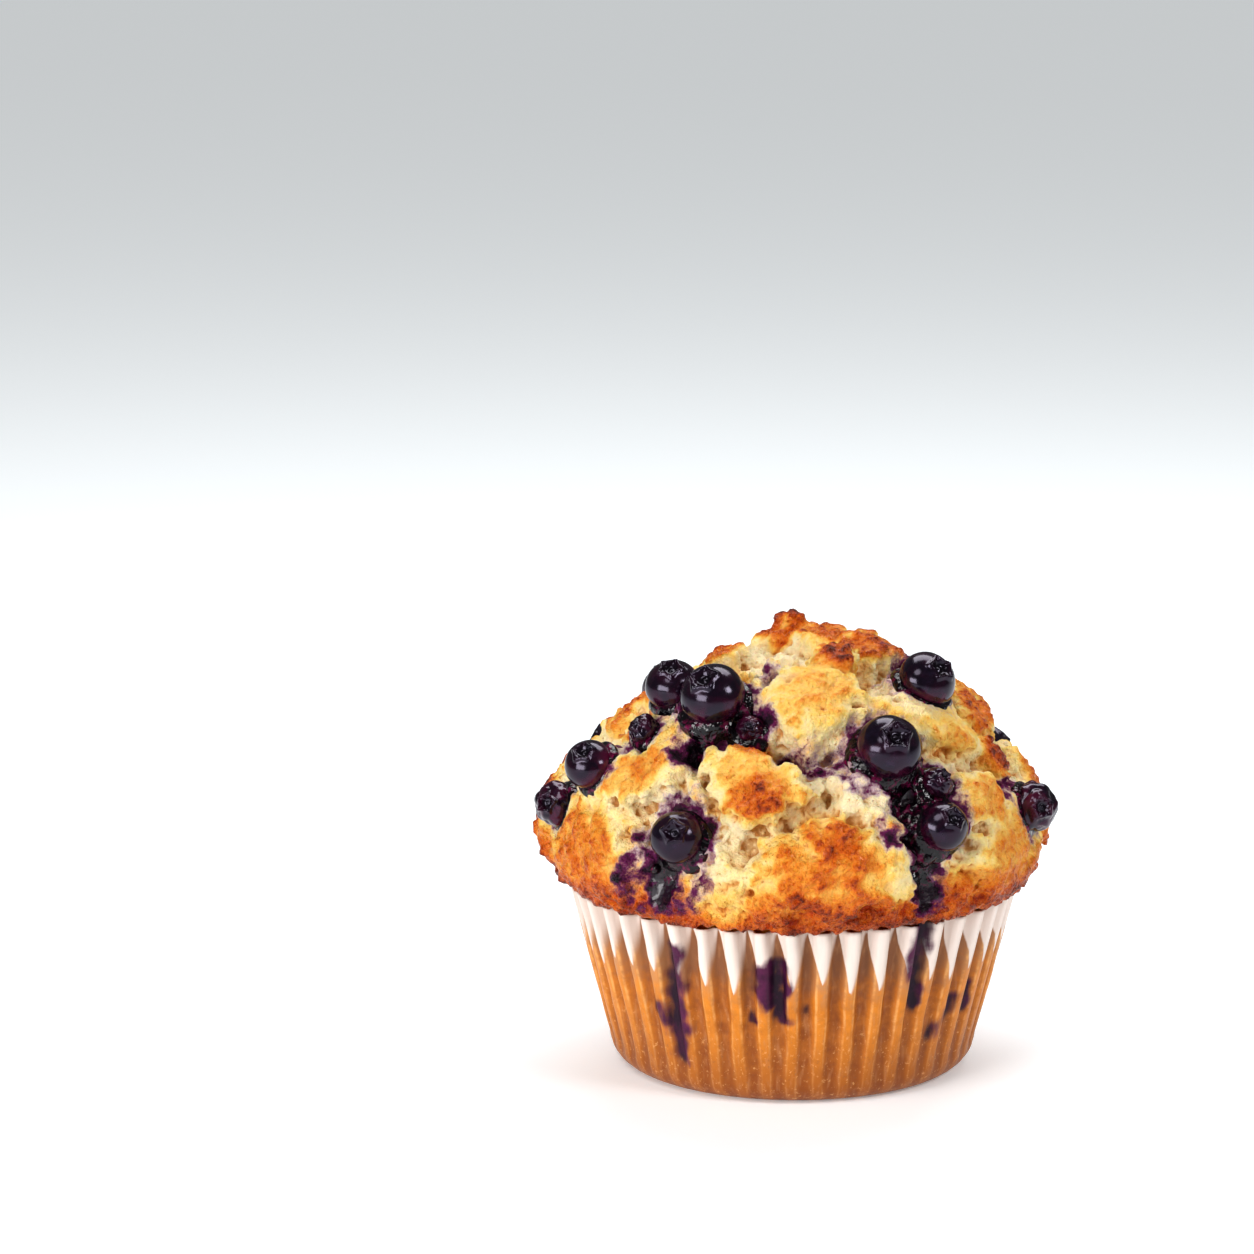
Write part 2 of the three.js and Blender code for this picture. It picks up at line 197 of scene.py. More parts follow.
@dataclass(frozen=True)
class Dome:
    """The smooth dome that the crown's relief stands on, with the lip that curls in under it."""

    waist: float = 45.0
    radius: float = 48.6
    rise: float = 40.0
    lip_radius: float = 44.6
    lip_height: float = 37.0

    def point(self, az: float | Numbers, pol: float | Numbers, lift: float = 0.0) -> Points:
        """A point at a bearing and an angle down from the top, `lift` above the dome."""
        r = (self.radius + lift) * np.sin(np.radians(pol))
        z = self.waist + (self.rise + lift) * np.cos(np.radians(pol))
        x, y = r * np.sin(np.radians(az)), -r * np.cos(np.radians(az))
        return np.stack(np.broadcast_arrays(x, y, z), axis=-1).astype(float)

    def normal(self, points: Points) -> Points:
        """The outward direction at points on the dome, level below the waist."""
        up = np.maximum(points[..., 2] - self.waist, 0.0) / self.rise**2
        n = np.stack([points[..., 0] / self.radius**2, points[..., 1] / self.radius**2, up], axis=-1)
        return n / np.linalg.norm(n, axis=-1, keepdims=True)

    def under(self, points: Points) -> tuple[Points, Numbers]:
        """The place on the dome beneath each point.

        Args:
            points: Points near the dome, one a row.

        Returns:
            The places on the dome, and how far each point stands out from its own.
        """
        flat = np.hypot(points[:, 0], points[:, 1])
        rise = points[:, 2] - self.waist
        height = np.zeros(len(points))
        for _ in range(6):
            wide, tall = self.radius + height, self.rise + height
            length = np.sqrt((flat / wide) ** 2 + (np.maximum(rise, 0.0) / tall) ** 2)
            height += (length - 1.0) * 44.0
        pol = np.arctan2(flat / (self.radius + height), np.maximum(rise, 0.0) / (self.rise + height))
        az = np.arctan2(points[:, 0], -points[:, 1])
        place = self.point(np.degrees(az), np.degrees(pol))
        drop = np.clip(-rise / (self.waist - self.lip_height), 0.0, 1.0)
        curl = self.lip_radius + (self.radius - self.lip_radius) * np.sqrt(1.0 - drop**2)
        below = rise < 0.0
        place[below, 0] = (np.sin(az) * curl)[below]
        place[below, 1] = (-np.cos(az) * curl)[below]
        place[below, 2] = points[below, 2]
        height[below] = (flat - curl)[below]
        return place, height


@dataclass(frozen=True)
class Crag:
    """A raised patch of crust: half widths across and along, a clockwise turn, and how brown its middle is."""

    az: float
    pol: float
    across: float
    along: float
    turn: float = 0.0
    rise: float = 0.0
    bake: float = 0.0

    def reach(self, dome: Dome, points: Points) -> Numbers:
        """How far each point lies from the middle of the crag, 1 at its edge."""
        centre = dome.point(self.az, min(self.pol, 90.0))
        centre[2] -= max(self.pol - 90.0, 0.0) * math.radians(1.0) * dome.radius
        normal = dome.normal(centre)
        az, angle = math.radians(self.az), -math.radians(self.turn)
        level = np.array([math.cos(az), math.sin(az), 0.0])
        steep = np.cross(normal, level)
        right = level * math.cos(angle) + np.cross(normal, level) * math.sin(angle)
        upward = steep * math.cos(angle) + np.cross(normal, steep) * math.sin(angle)
        d = points - centre
        x = d @ right / self.across
        y = d @ upward / self.along
        n = d @ normal / (1.2 * max(self.across, self.along))
        return np.sqrt(x * x + y * y + n * n)


@dataclass(frozen=True)
class Crack:
    """A crack along a chain of (bearing, angle down) points. Juice has run down some."""

    path: tuple[tuple[float, float], ...]
    deep: float
    wide: float
    juice: float = 0.0

    def distance(self, dome: Dome, points: Points) -> Numbers:
        """How far each point lies from the crack's line."""
        chain = [dome.point(az, pol) for az, pol in self.path]
        best = np.full(len(points), np.inf)
        for a, b in zip(chain, chain[1:]):
            along = b - a
            t = np.clip((points - a) @ along / (along @ along), 0.0, 1.0)
            best = np.minimum(best, np.linalg.norm(points - a - t[:, None] * along, axis=1))
        return best


@dataclass(frozen=True)
class Berry:
    """One berry: its place and width, the bearing and elevation of its blossom end, and how much juice it has lost."""

    name: str
    az: float
    pol: float
    lift: float
    size: float
    blossom: tuple[float, float]
    juice: float
    burst: bool = False

    @property
    def axis(self) -> Points:
        """The direction of the blossom end."""
        az, up = (math.radians(a) for a in self.blossom)
        return np.array([math.cos(up) * math.sin(az), -math.cos(up) * math.cos(az), math.sin(up)])


FRONT_CRAGS = (
    Crag(110, 8, 12, 7.5, 0, 1.4, bake=0.66),
    Crag(70, 19, 8.5, 6.5, 20, 4.2, bake=0.68),
    Crag(206, 10, 5.6, 4.8, 0, 1.3, bake=0.76),
    Crag(189, 9, 2.9, 3.0, 0, 4.7, bake=0.86),
    Crag(-76, 18, 7, 5, -20, 2.6, bake=0.66),
    Crag(8, 35, 12.5, 11, 0, 4.0, bake=0.4),
    Crag(24, 22, 5.5, 4.6, 0, 4.9, bake=0.74),
    Crag(-12, 59, 12, 8, 12, 3.2, bake=0.4),
    Crag(-7, 65, 5.5, 3.8, 0, 4.0, bake=0.72),
    Crag(8, 83, 20, 9.5, -6, 2.9, bake=0.6),
    Crag(-56, 84, 18, 11.5, 0, 1.2, bake=0.6),
    Crag(-45, 62, 13, 6, -28, 2.6, bake=0.42),
    Crag(-40, 50, 7, 5.5, -20, 1.8, bake=0.34),
    Crag(50, 45, 17, 6.5, 24, 2.9, bake=0.32),
    Crag(72, 61, 4, 5.5, 0, 2.4, bake=0.8),
    Crag(52, 69, 7.5, 6.5, 20, 1.9, bake=0.46),
    Crag(62, 86, 15, 11.5, 0, 1.6, bake=0.5),
    Crag(-68, 46, 12, 7, -10, -0.8, bake=0.62),
    Crag(88, 48, 13, 7, 0, 3.6, bake=0.64),
    Crag(18, 66, 6, 6, 0, 1.2, bake=0.0),
    Crag(-13, 87, 6, 6, 0, 0.9, bake=0.2),
)
BACK_CRAG_ROWS = (
    (82, (104, 140, 178, 216, 254), 17, 10.5),
    (50, (120, 158, 198, 240), 14, 8.5),
)
CRACKS = (
    Crack(((-18, 47), (-1, 50), (16, 49), (26, 48)), 4.6, 2.4),
    Crack(((-12, 79), (-5, 74), (2, 70), (9, 63)), 3.4, 2.0),
    Crack(((-30, 50), (-26, 63), (-18, 73)), 1.8, 2.2),
    Crack(((27, 48), (29, 63), (31, 79), (34, 93)), 2.4, 3.0, juice=2.2),
    Crack(((-19, 36), (-29, 48), (-31, 53)), 2.0, 2.6, juice=1.3),
    Crack(((-28, 76), (-31, 84), (-34, 94)), 2.4, 3.2, juice=2.4),
    Crack(((60, 15), (34, 30), (27, 44)), 1.4, 1.8),
    Crack(((120, 66), (160, 64), (200, 67), (235, 63)), 2.2, 2.4),
)
BROWNED = (
    Crag(190, 5, 5.0, 4.0, 0, bake=0.74),
    Crag(5, 92, 12, 5, 0, bake=0.78),
    Crag(-58, 90, 15, 6.5, 0, bake=0.68),
    Crag(50, 16, 9.5, 4.2, 24, bake=0.66),
    Crag(-46, 22, 5.5, 4.2, -30, bake=0.62),
    Crag(22, 24, 8.5, 6.5, 0, bake=0.58),
    Crag(-9, 50, 8, 4, 8, bake=0.6),
    Crag(-9, 64, 10, 6, -6, bake=0.64),
    Crag(-41, 60, 9, 3.6, -34, bake=0.56),
    Crag(9, 77, 11, 7, -10, bake=0.7),
    Crag(52, 52, 9, 4.4, 24, bake=0.42),
    Crag(72, 60, 6.5, 6.5, 0, bake=0.66),
    Crag(77, 50, 7, 6, 20, bake=0.62),
)
SOAKS = (
    Crack(((-2, 52), (12, 52)), 0.0, 0.0, juice=0.3),
    Crack(((14, 52), (18, 59)), 0.0, 0.0, juice=0.9),
    Crack(((-20, 28), (-14, 26)), 0.0, 0.0, juice=0.5),
    Crack(((-45, 25), (-40, 26)), 0.0, 0.0, juice=0.9),
    Crack(((67, 25), (70, 26)), 0.0, 0.0, juice=0.9),
    Crack(((28, 69), (24, 73)), 0.0, 0.0, juice=0.8),
    Crack(((-58, 57), (-64, 51)), 0.0, 0.0, juice=0.5),
    Crack(((-35, 44), (-33, 48)), 0.0, 0.0, juice=0.5),
    Crack(((-32, 68), (-25, 67)), 0.0, 0.0, juice=0.6),
    Crack(((66, 70), (69, 71)), 0.0, 0.0, juice=0.6),
    Crack(((-36, 84), (-39, 93)), 0.0, 0.0, juice=2.6),
    Crack(((-24, 88), (-28, 93)), 0.0, 0.0, juice=1.4),
)
PALE_PATCHES = (
    Crag(-17, 91, 8.5, 7.5),
    Crag(25, 86, 5, 7),
    Crag(-53, 52, 6, 5.5),
    Crag(45, 40, 7, 5, 20),
)
THIN_CRUST = (
    Crag(-141, 25, 9.5, 5.5, 20, bake=0.54),
    Crag(-105, 31, 9, 6, -25, bake=0.46),
    Crag(-96, 54, 9, 5, 15, bake=0.42),
    Crag(-163, 38, 6, 4.5, -30, bake=0.5),
    Crag(152, 29, 9, 5, 15, bake=0.5),
    Crag(120, 33, 7, 5, -20, bake=0.44),
    Crag(-178, 22, 6.5, 4, 10, bake=0.46),
)
HOLLOWS = (
    Crag(-98, 40, 27, 21, rise=-7.4),
    Crag(86, 48, 20, 22, rise=-4.6),
)
FRONT_BERRIES = (
    (-52, 36, 1.6, 10.6, (-12, 62), 0.35),
    (-29, 38, 3.2, 12.6, (-31, 49), 0.8),
    (58, 36, 2.5, 11.4, (46, 41), 0.55),
    (27, 52, 2.0, 12.6, (19, 38), 0.9),
    (37, 74, 0.5, 9.8, (36, 34), 1.0),
    (-60, 63, 2.0, 9.8, (-28, 50), 0.35),
    (-28, 76, -0.5, 10.2, (-9, 27), 1.0),
)
BURST_BERRIES = (
    (73, 77, 1.0, 9.8, (24, 12), 0.6),
    (-73, 77, 0.5, 9.0, (-32, 17), 0.4),
    (39.5, 62.5, -0.2, 6.2, (50, 40), 1.0),
    (-15, 43, -1.4, 5.4, (0, 30), 1.0),
    (-52, 49, -0.4, 6.0, (-70, 30), 0.5),
)
BACK_BERRY_ROWS = ((76, (128, 160, 198, 232)), (57, (140, 200, 220)), (44, (180,)))
BACK_BERRY_SIZE = 11.0


def back_crags() -> list[Crag]:
    """The crags that the photograph doesn't show, as the part has them."""
    crags = []
    for pol, bearings, across, along in BACK_CRAG_ROWS:
        for az in bearings:
            i = az + pol
            crags.append(
                Crag(
                    az=az + 8 * (chance(i) - 0.5),
                    pol=pol + 6 * (chance(i + 1) - 0.5),
                    across=across * (0.85 + 0.3 * chance(i + 2)),
                    along=along * (0.85 + 0.3 * chance(i + 3)),
                    turn=40 * (chance(i + 4) - 0.5),
                    rise=1.4 + 1.2 * chance(i + 5),
                    bake=0.4 + 0.004 * (pol - 30) + 0.16 * chance(i + 6),
                )
            )
    return crags


def all_berries() -> list[Berry]:
    """Every berry of the part, named as its node is."""
    whole = list(FRONT_BERRIES)
    for pol, bearings in BACK_BERRY_ROWS:
        for az in bearings:
            i = 3 * az + pol
            whole.append(
                (
                    az + 6 * (chance(i) - 0.5),
                    pol + 6 * (chance(i + 1) - 0.5),
                    -0.8 + 1.8 * chance(i + 2),
                    BACK_BERRY_SIZE + 2.2 * (chance(i + 3) - 0.5),
                    (az + 60 * (chance(i + 4) - 0.5), 20 + 40 * chance(i + 5)),
                    0.3 + 0.7 * chance(i + 6),
                )
            )
    berries = [Berry(f"berry_{i:02d}", *place) for i, place in enumerate(whole, 1)]
    berries += [Berry(f"burst_berry_{i:02d}", *place, burst=True) for i, place in enumerate(BURST_BERRIES, 1)]
    return berries


@dataclass(frozen=True)
class Ground:
    """What the crown is like at each of many places."""

    height: Numbers
    crust: Numbers
    bake: Numbers
    wet_gap: Numbers
    soak_gap: Numbers


@dataclass(frozen=True)
class Relief:
    """The crown's relief: plates of crust, torn crumb between them, cracks, and a seat for each berry."""

    dome: Dome
    crags: tuple[Crag, ...]
    berries: tuple[Berry, ...]
    torn_depth: float = 2.3
    bump_height: float = 0.55
    sunk: float = 0.09
    lump_size: float = 5.0
    lump_height: float = 4.2
    crumb_size: float = 2.2
    crumb_height: float = 1.5
    dry_reach: float = 2.8  # how much less far the juice of a whole berry soaks than that of a burst one
    faint: float = 1.9  # the soaks without a berry are never darker than this far from one
    blister_size: float = 3.2
    blister_height: float = 0.75

    def gaps(self, places: Points) -> tuple[Numbers, Numbers]:
        """How far each place is from the nearest wet one, and from the nearest source of soaking juice."""
        wet_gap = np.full(len(places), np.inf)
        soak_gap = np.full(len(places), np.inf)
        for berry in self.berries:
            centre = self.dome.point(berry.az, berry.pol)
            away = np.linalg.norm(places - centre, axis=1) - berry.size / 2
            wet_gap = np.minimum(wet_gap, away)
            soak_gap = np.minimum(soak_gap, away + self.dry_reach * (1.0 - berry.juice))
        for crack in CRACKS:
            if crack.juice:
                away = crack.distance(self.dome, places) - crack.juice
                soak_gap = np.minimum(soak_gap, away)
                wet_gap = np.minimum(wet_gap, away)
        for soak in SOAKS:
            away = soak.distance(self.dome, places) - soak.juice
            soak_gap = np.minimum(soak_gap, np.maximum(away, self.faint))
        return wet_gap, soak_gap

    def survey(self, places: Points) -> Ground:
        """The height of the surface and its masks.

        Args:
            places: Places on the smooth dome, one a row.

        Returns:
            The height over the dome and the masks at each place.
        """
        edge = 0.16 * lumps(places, 5.5, 0.7) + 0.08 * lumps(places, 2.6, 1.9)
        edge += 0.2 * Noise(5).rough(places, 4.2)
        plate = np.zeros(len(places))
        crust = np.zeros(len(places))
        bake = np.zeros(len(places))
        for crag in self.crags:
            d = crag.reach(self.dome, places) + edge * (1.0 + 2.0 / crag.along)
            level = (crag.rise + self.torn_depth) * (1.0 - smooth(d, 0.82, 1.04))
            plate = np.maximum(plate, level * (1.0 - 0.22 * np.minimum(d, 1.0) ** 2))
            if crag.bake > 0.25:
                crust = np.maximum(crust, 1.0 - smooth(d, 0.78, 0.98))
            bake = np.maximum(bake, crag.bake * (1.0 - smooth(d, 0.4, 1.12)))
        for patch in (*BROWNED, *THIN_CRUST):
            d = patch.reach(self.dome, places) + edge * (1.0 + 2.0 / patch.along)
            bake = np.maximum(bake, patch.bake * (1.0 - smooth(d, 0.2, 1.2)))
            if patch in THIN_CRUST:
                crust = np.maximum(crust, 1.0 - smooth(d, 0.6, 1.1))
        height = plate - self.torn_depth + self.bump_height * lumps(places, 3.6, 0.4)
        for crack in CRACKS:
            height -= crack.deep * np.exp(-((crack.distance(self.dome, places) / crack.wide) ** 2))
        for hollow in HOLLOWS:
            height += hollow.rise * np.exp(-(hollow.reach(self.dome, places) ** 2))
        wet_gap, soak_gap = self.gaps(places)
        height += self._grain(places, crust, wet_gap)
        for berry in self.berries:
            away = np.linalg.norm(places - self.dome.point(berry.az, berry.pol), axis=1)
            level = berry.lift - self.sunk * berry.size
            height = mixed(level, height, smooth(away, 0.42 * berry.size, 0.5 * berry.size + 3.5))
        return Ground(height, crust, bake, wet_gap, soak_gap)

    def _grain(self, places: Points, crust: Numbers, wet_gap: Numbers) -> Numbers:
        """The lumps of torn crumb and the blisters of crust, calmer where it is wet."""
        bent = places + 0.9 * np.stack([Noise(40 + k).soft(places, 3.0) for k in range(3)], axis=1)
        crumb = self.lump_height * (0.28 - Noise(11).grains(bent, self.lump_size) ** 2)
        crumb += self.crumb_height * (0.42 - Noise(12).grains(bent, self.crumb_size))
        crumb += 0.35 * Noise(13).rough(places, 1.5, 2)
        blister = self.blister_height * Noise(14).rough(places, self.blister_size)
        blister += 0.2 * Noise(15).creases(bent, 1.9)
        calm = 0.35 + 0.65 * smooth(wet_gap, 0.0, 2.5)
        return mixed(crumb, blister, crust) * calm


# Node trees


class Field:
    """A node's output that takes part in arithmetic."""

    def __init__(self, tree: "Tree", socket: bpy.types.NodeSocket) -> None:
        """Keeps the tree and the socket."""
        self.tree = tree
        self.socket = socket

    def __add__(self, other: "Value") -> "Field":
        """self + other."""
        return self.tree.maths("ADD", self, other)

    def __radd__(self, other: "Value") -> "Field":
        """other + self."""
        return self.tree.maths("ADD", other, self)

    def __sub__(self, other: "Value") -> "Field":
        """self - other."""
        return self.tree.maths("SUBTRACT", self, other)

    def __rsub__(self, other: "Value") -> "Field":
        """other - self."""
        return self.tree.maths("SUBTRACT", other, self)

    def __mul__(self, other: "Value") -> "Field":
        """self * other."""
        return self.tree.maths("MULTIPLY", self, other)

    def __rmul__(self, other: "Value") -> "Field":
        """other * self."""
        return self.tree.maths("MULTIPLY", other, self)

    def __truediv__(self, other: "Value") -> "Field":
        """self / other."""
        return self.tree.maths("DIVIDE", self, other)

    def __pow__(self, other: "Value") -> "Field":
        """self to the power of other."""
        return self.tree.maths("POWER", self, other)


Value = Field | float


class Tree:
    """A node tree that is put together from expressions."""

    def __init__(self, nodes: bpy.types.NodeTree) -> None:
        """Keeps Blender's own tree."""
        self.nodes = nodes

    def add(self, kind: str, settings: dict | None = None, values: dict | None = None) -> bpy.types.Node:
        """Adds a node.

        Args:
            kind: The node's type.
            settings: The node's own settings, set first. A ramp's stops are pairs of a position and a colour.
            values: A value or a Field for each input, by its name or number.

        Returns:
            The node.
        """
        node = self.nodes.nodes.new(kind)
        for key, setting in (settings or {}).items():
            if key == "stops":
                self._set_stops(node.color_ramp, setting)
            else:
                setattr(node, key, setting)
        for key, value in (values or {}).items():
            if isinstance(value, Field):
                self.nodes.links.new(value.socket, node.inputs[key])
            else:
                node.inputs[key].default_value = value
        return node

    @staticmethod
    def _set_stops(ramp: bpy.types.ColorRamp, stops: list[tuple[float, Colour]]) -> None:
        """Gives a ramp its stops."""
        while len(ramp.elements) < len(stops):
            ramp.elements.new(1.0)
        for element, (position, colour) in zip(ramp.elements, stops):
            element.position = position
            element.color = colour

    def field(self, kind: str, settings: dict | None = None, values: dict | None = None, out: str | int = 0) -> Field:
        """Adds a node and gives one of its outputs."""
        return Field(self, self.add(kind, settings, values).outputs[out])

    def maths(self, operation: str, *values: Value) -> Field:
        """A Math node's result."""
        return self.field("ShaderNodeMath", {"operation": operation}, dict(enumerate(values)))

    def clamp(self, value: Value) -> Field:
        """The value kept between 0 and 1."""
        return self.field("ShaderNodeMath", {"operation": "MULTIPLY", "use_clamp": True}, {0: value, 1: 1.0})

    def step(self, value: Value, low: Value, high: Value) -> Field:
        """A soft step from 0 at `low` to 1 at `high`."""
        inputs = {"Value": value, "From Min": low, "From Max": high}
        return self.field("ShaderNodeMapRange", {"interpolation_type": "SMOOTHSTEP"}, inputs)

    def blend(self, a: "Field | Colour", b: "Field | Colour", share: Value) -> Field:
        """A colour between a and b."""
        return self.field("ShaderNodeMix", {"data_type": "RGBA"}, {0: share, 6: a, 7: b}, 2)

    def tint(self, colour: Field, filter_colour: Colour, share: Value) -> Field:
        """A colour multiplied by another."""
        settings = {"data_type": "RGBA", "blend_type": "MULTIPLY"}
        return self.field("ShaderNodeMix", settings, {0: share, 6: colour, 7: filter_colour}, 2)

    def ramp(self, value: Value, stops: list[tuple[float, Colour]]) -> Field:
        """A colour picked along a ramp of stops."""
        return self.field("ShaderNodeValToRGB", {"stops": stops}, {"Fac": value})

    def attribute(self, name: str) -> Field:
        """A number that the mesh keeps for each of its points."""
        return self.field("ShaderNodeAttribute", {"attribute_name": name}, out="Fac")

    def noise(self, size: float, detail: float = 2.0, roughness: float = 0.5, warp: float = 0.0) -> Field:
        """Noise on Object coordinates, from 0 to 1.

        Args:
            size: Distance from swell to swell in millimetres.
            detail: Number of finer layers.
            roughness: How strong the finer layers are.
            warp: How far the noise bends itself.

        Returns:
            The noise.
        """
        inputs = {
            "Vector": self.place,
            "Scale": 1.0 / (size * MM),
            "Detail": detail,
            "Roughness": roughness,
            "Distortion": warp,
        }
        return self.field("ShaderNodeTexNoise", None, inputs, "Fac")

    def cells(self, size: float) -> Field:
        """Distance to the nearest of scattered centres about `size` millimetres apart, in cell sizes."""
        return self.field("ShaderNodeTexVoronoi", None, {"Vector": self.place, "Scale": 1.0 / (size * MM)}, "Distance")

    @cached_property
    def place(self) -> Field:
        """Object coordinates."""
        return self.field("ShaderNodeTexCoord", out="Object")

    def bump(self, height: Field, deep: float, strength: float = 1.0) -> Field:
        """A Bump node's normal.

        Args:
            height: Height from 0 to 1.
            deep: How far 1 stands above 0, in millimetres.
            strength: How much of it shows.

        Returns:
            The bent normal.
        """
        return self.field("ShaderNodeBump", None, {"Strength": strength, "Distance": deep * MM, "Height": height})


def new_material(name: str) -> tuple[bpy.types.Material, Tree]:
    """An empty material and its tree."""
    material = bpy.data.materials.new(name)
    material.use_nodes = True
    material.node_tree.nodes.clear()
    return material, Tree(material.node_tree)


def close_material(tree: Tree, values: dict) -> None:
    """Ends a tree in a Principled shader with these inputs."""
    shader = tree.field("ShaderNodeBsdfPrincipled", None, values)
    tree.add("ShaderNodeOutputMaterial", None, {"Surface": shader})


# Finishes


@dataclass(frozen=True)
class CrustFinish:
    """Pale torn crumb that bakes through gold to brown, with juice soaked in round the berries and shade painted into
    its hollows.
    """

    pale: Colour = paint(246, 229, 188)
    butter: Colour = paint(252, 224, 156)
    # painted shade: the warm tint multiplied into hollows and pores
    shade: Colour = paint(241, 184, 118)
    # painted shade: the duller tint for the deepest crevices
    crevice_shade: Colour = paint(212, 184, 150)
    gold: Colour = paint(254, 206, 106)
    amber: Colour = paint(248, 160, 54)
    brown: Colour = paint(228, 116, 22)
    dark: Colour = paint(180, 70, 6)
    burnt: Colour = paint(104, 32, 2)
    lilac: Colour = paint(196, 166, 182)
    purple: Colour = paint(106, 22, 80)
    juice: Colour = paint(28, 6, 24)

    def material(self) -> bpy.types.Material:
        """The material, which reads the crown's bake, stain and wet, and the mask of hollows where shade is painted in.
        """
        material, tree = new_material("baked_crumb")
        bake, stain, wet, pit_shade = (tree.attribute(name) for name in ("bake", "stain", "wet", "pit_shade"))
        fleck = tree.noise(0.9, 3.0, 0.62, 0.4)
        cloud = tree.noise(3.4, 2.0)
        level = tree.clamp(bake + (fleck - 0.5) * (0.1 + bake * 0.5) + (cloud - 0.5) * (0.14 + bake * 0.3))
        stops = [
            (0.0, self.pale),
            (0.2, self.butter),
            (0.38, self.gold),
            (0.56, self.amber),
            (0.72, self.brown),
            (0.86, self.dark),
            (1.0, self.burnt),
        ]
        colour = tree.ramp(level, stops)
        # dark pinholes: partly dark specks in the crumb, partly painted shade in its pores
        pinhole = 1.0 - tree.step(tree.cells(1.5), 0.07, 0.2)
        # painted shade: hollows tinted darker, more so where the crust is baked, and the deepest crevices darkest
        colour = tree.tint(colour, self.shade, tree.clamp(pit_shade * (0.5 + bake) + pinhole * 0.4))
        colour = tree.tint(colour, self.shade, pit_shade * bake)
        colour = tree.tint(colour, self.crevice_shade, tree.clamp(pit_shade * 2.0 - 0.9))
        speck = tree.noise(0.55, 2.0, 0.6)
        soaked = tree.clamp(stain + (speck - 0.5) * 0.55 * tree.step(stain, 0.02, 0.3))
        colour = tree.blend(colour, self.lilac, tree.step(soaked, 0.06, 0.4) * tree.clamp(0.75 - bake * 0.9))
        colour = tree.blend(colour, self.purple, tree.step(soaked, 0.28, 0.68))
        colour = tree.blend(colour, self.juice, tree.step(soaked, 0.62, 0.98))
        fine = tree.noise(0.32, 3.0, 0.6)
        pores = tree.cells(0.7)
        pebble = tree.cells(1.25) * tree.step(bake, 0.2, 0.5)
        height = fine * 0.4 + pores * 0.35 + fleck * 0.6 + tree.noise(1.5, 3.0, 0.6, 0.5) * 0.7 - pinhole * 0.4 - pebble * 0.5
        gloss = tree.step(bake, 0.25, 0.7)
        roughness = 0.82 - gloss * 0.52 - (fleck - 0.5) * 0.4 * gloss
        roughness = roughness - (roughness - 0.12) * tree.clamp(wet)
        inputs = {
            "Base Color": colour,
            "Roughness": roughness,
            "Coat Weight": tree.clamp(wet * 0.5 + gloss * 0.1),
            "Coat Roughness": 0.1,
            "Subsurface Weight": 0.22,
            "Subsurface Radius": (1.0, 0.5, 0.18),
            "Subsurface Scale": 1.3 * MM,
            "Specular IOR Level": 0.36,
            "Normal": tree.bump(height * (1.0 - wet * 0.85) * (0.8 + gloss * 0.6), 1.0, 1.0),
        }
        close_material(tree, inputs)
        return material


@dataclass(frozen=True)
class BerryFinish:
    """Dark skin of a baked berry, wet and a little redder where it has burst."""

    skin: Colour = paint(16, 7, 20)
    blush: Colour = paint(84, 12, 48)
    gleam: Colour = (0.86, 0.78, 1.0, 1.0)
    dust: Colour = paint(78, 66, 100)
    stalk: Colour = paint(10, 5, 12)

    def material(self) -> bpy.types.Material:
        """The material, which reads the berry's crown and blush."""
        material, tree = new_material("berry_skin")
        cloud = tree.noise(3.2, 3.0, 0.55, 0.5)
        fine = tree.noise(0.5, 3.0, 0.6)
        colour = tree.blend(self.skin, self.blush, tree.attribute("blush") * tree.step(cloud, 0.35, 0.7))
        colour = tree.blend(colour, self.dust, tree.step(tree.noise(2.2, 4.0, 0.6), 0.5, 0.75) * 0.1)
        colour = tree.blend(colour, self.stalk, tree.attribute("hollow"))
        inputs = {
            "Base Color": colour,
            "Roughness": 0.1 + cloud * 0.12,
            "Specular IOR Level": 0.46,
            "Specular Tint": self.gleam,
            "Coat Weight": tree.attribute("blush") * 0.2,
            "Coat Roughness": 0.04,
            "Normal": tree.bump(cloud * 0.8 + fine * 0.2, 0.1, 0.45),
        }
        close_material(tree, inputs)
        return material


@dataclass(frozen=True)
class JamFinish:
    """Boiled berry juice: nearly black where it is thick, purple where it is thin."""

    thick: Colour = paint(9, 3, 9)
    thin: Colour = paint(112, 14, 66)

    def material(self) -> bpy.types.Material:
        """The material."""
        material, tree = new_material("berry_jam")
        cloud = tree.noise(1.8, 3.0, 0.6, 0.6)
        inputs = {
            "Base Color": tree.blend(self.thick, self.thin, tree.step(cloud, 0.48, 0.74)),
            "Roughness": 0.03 + cloud * 0.08,
            "Specular IOR Level": 0.44,
            "Normal": tree.bump(tree.noise(1.4, 2.0, 0.5, 0.3), 0.55, 0.8),
        }
        close_material(tree, inputs)
        return material


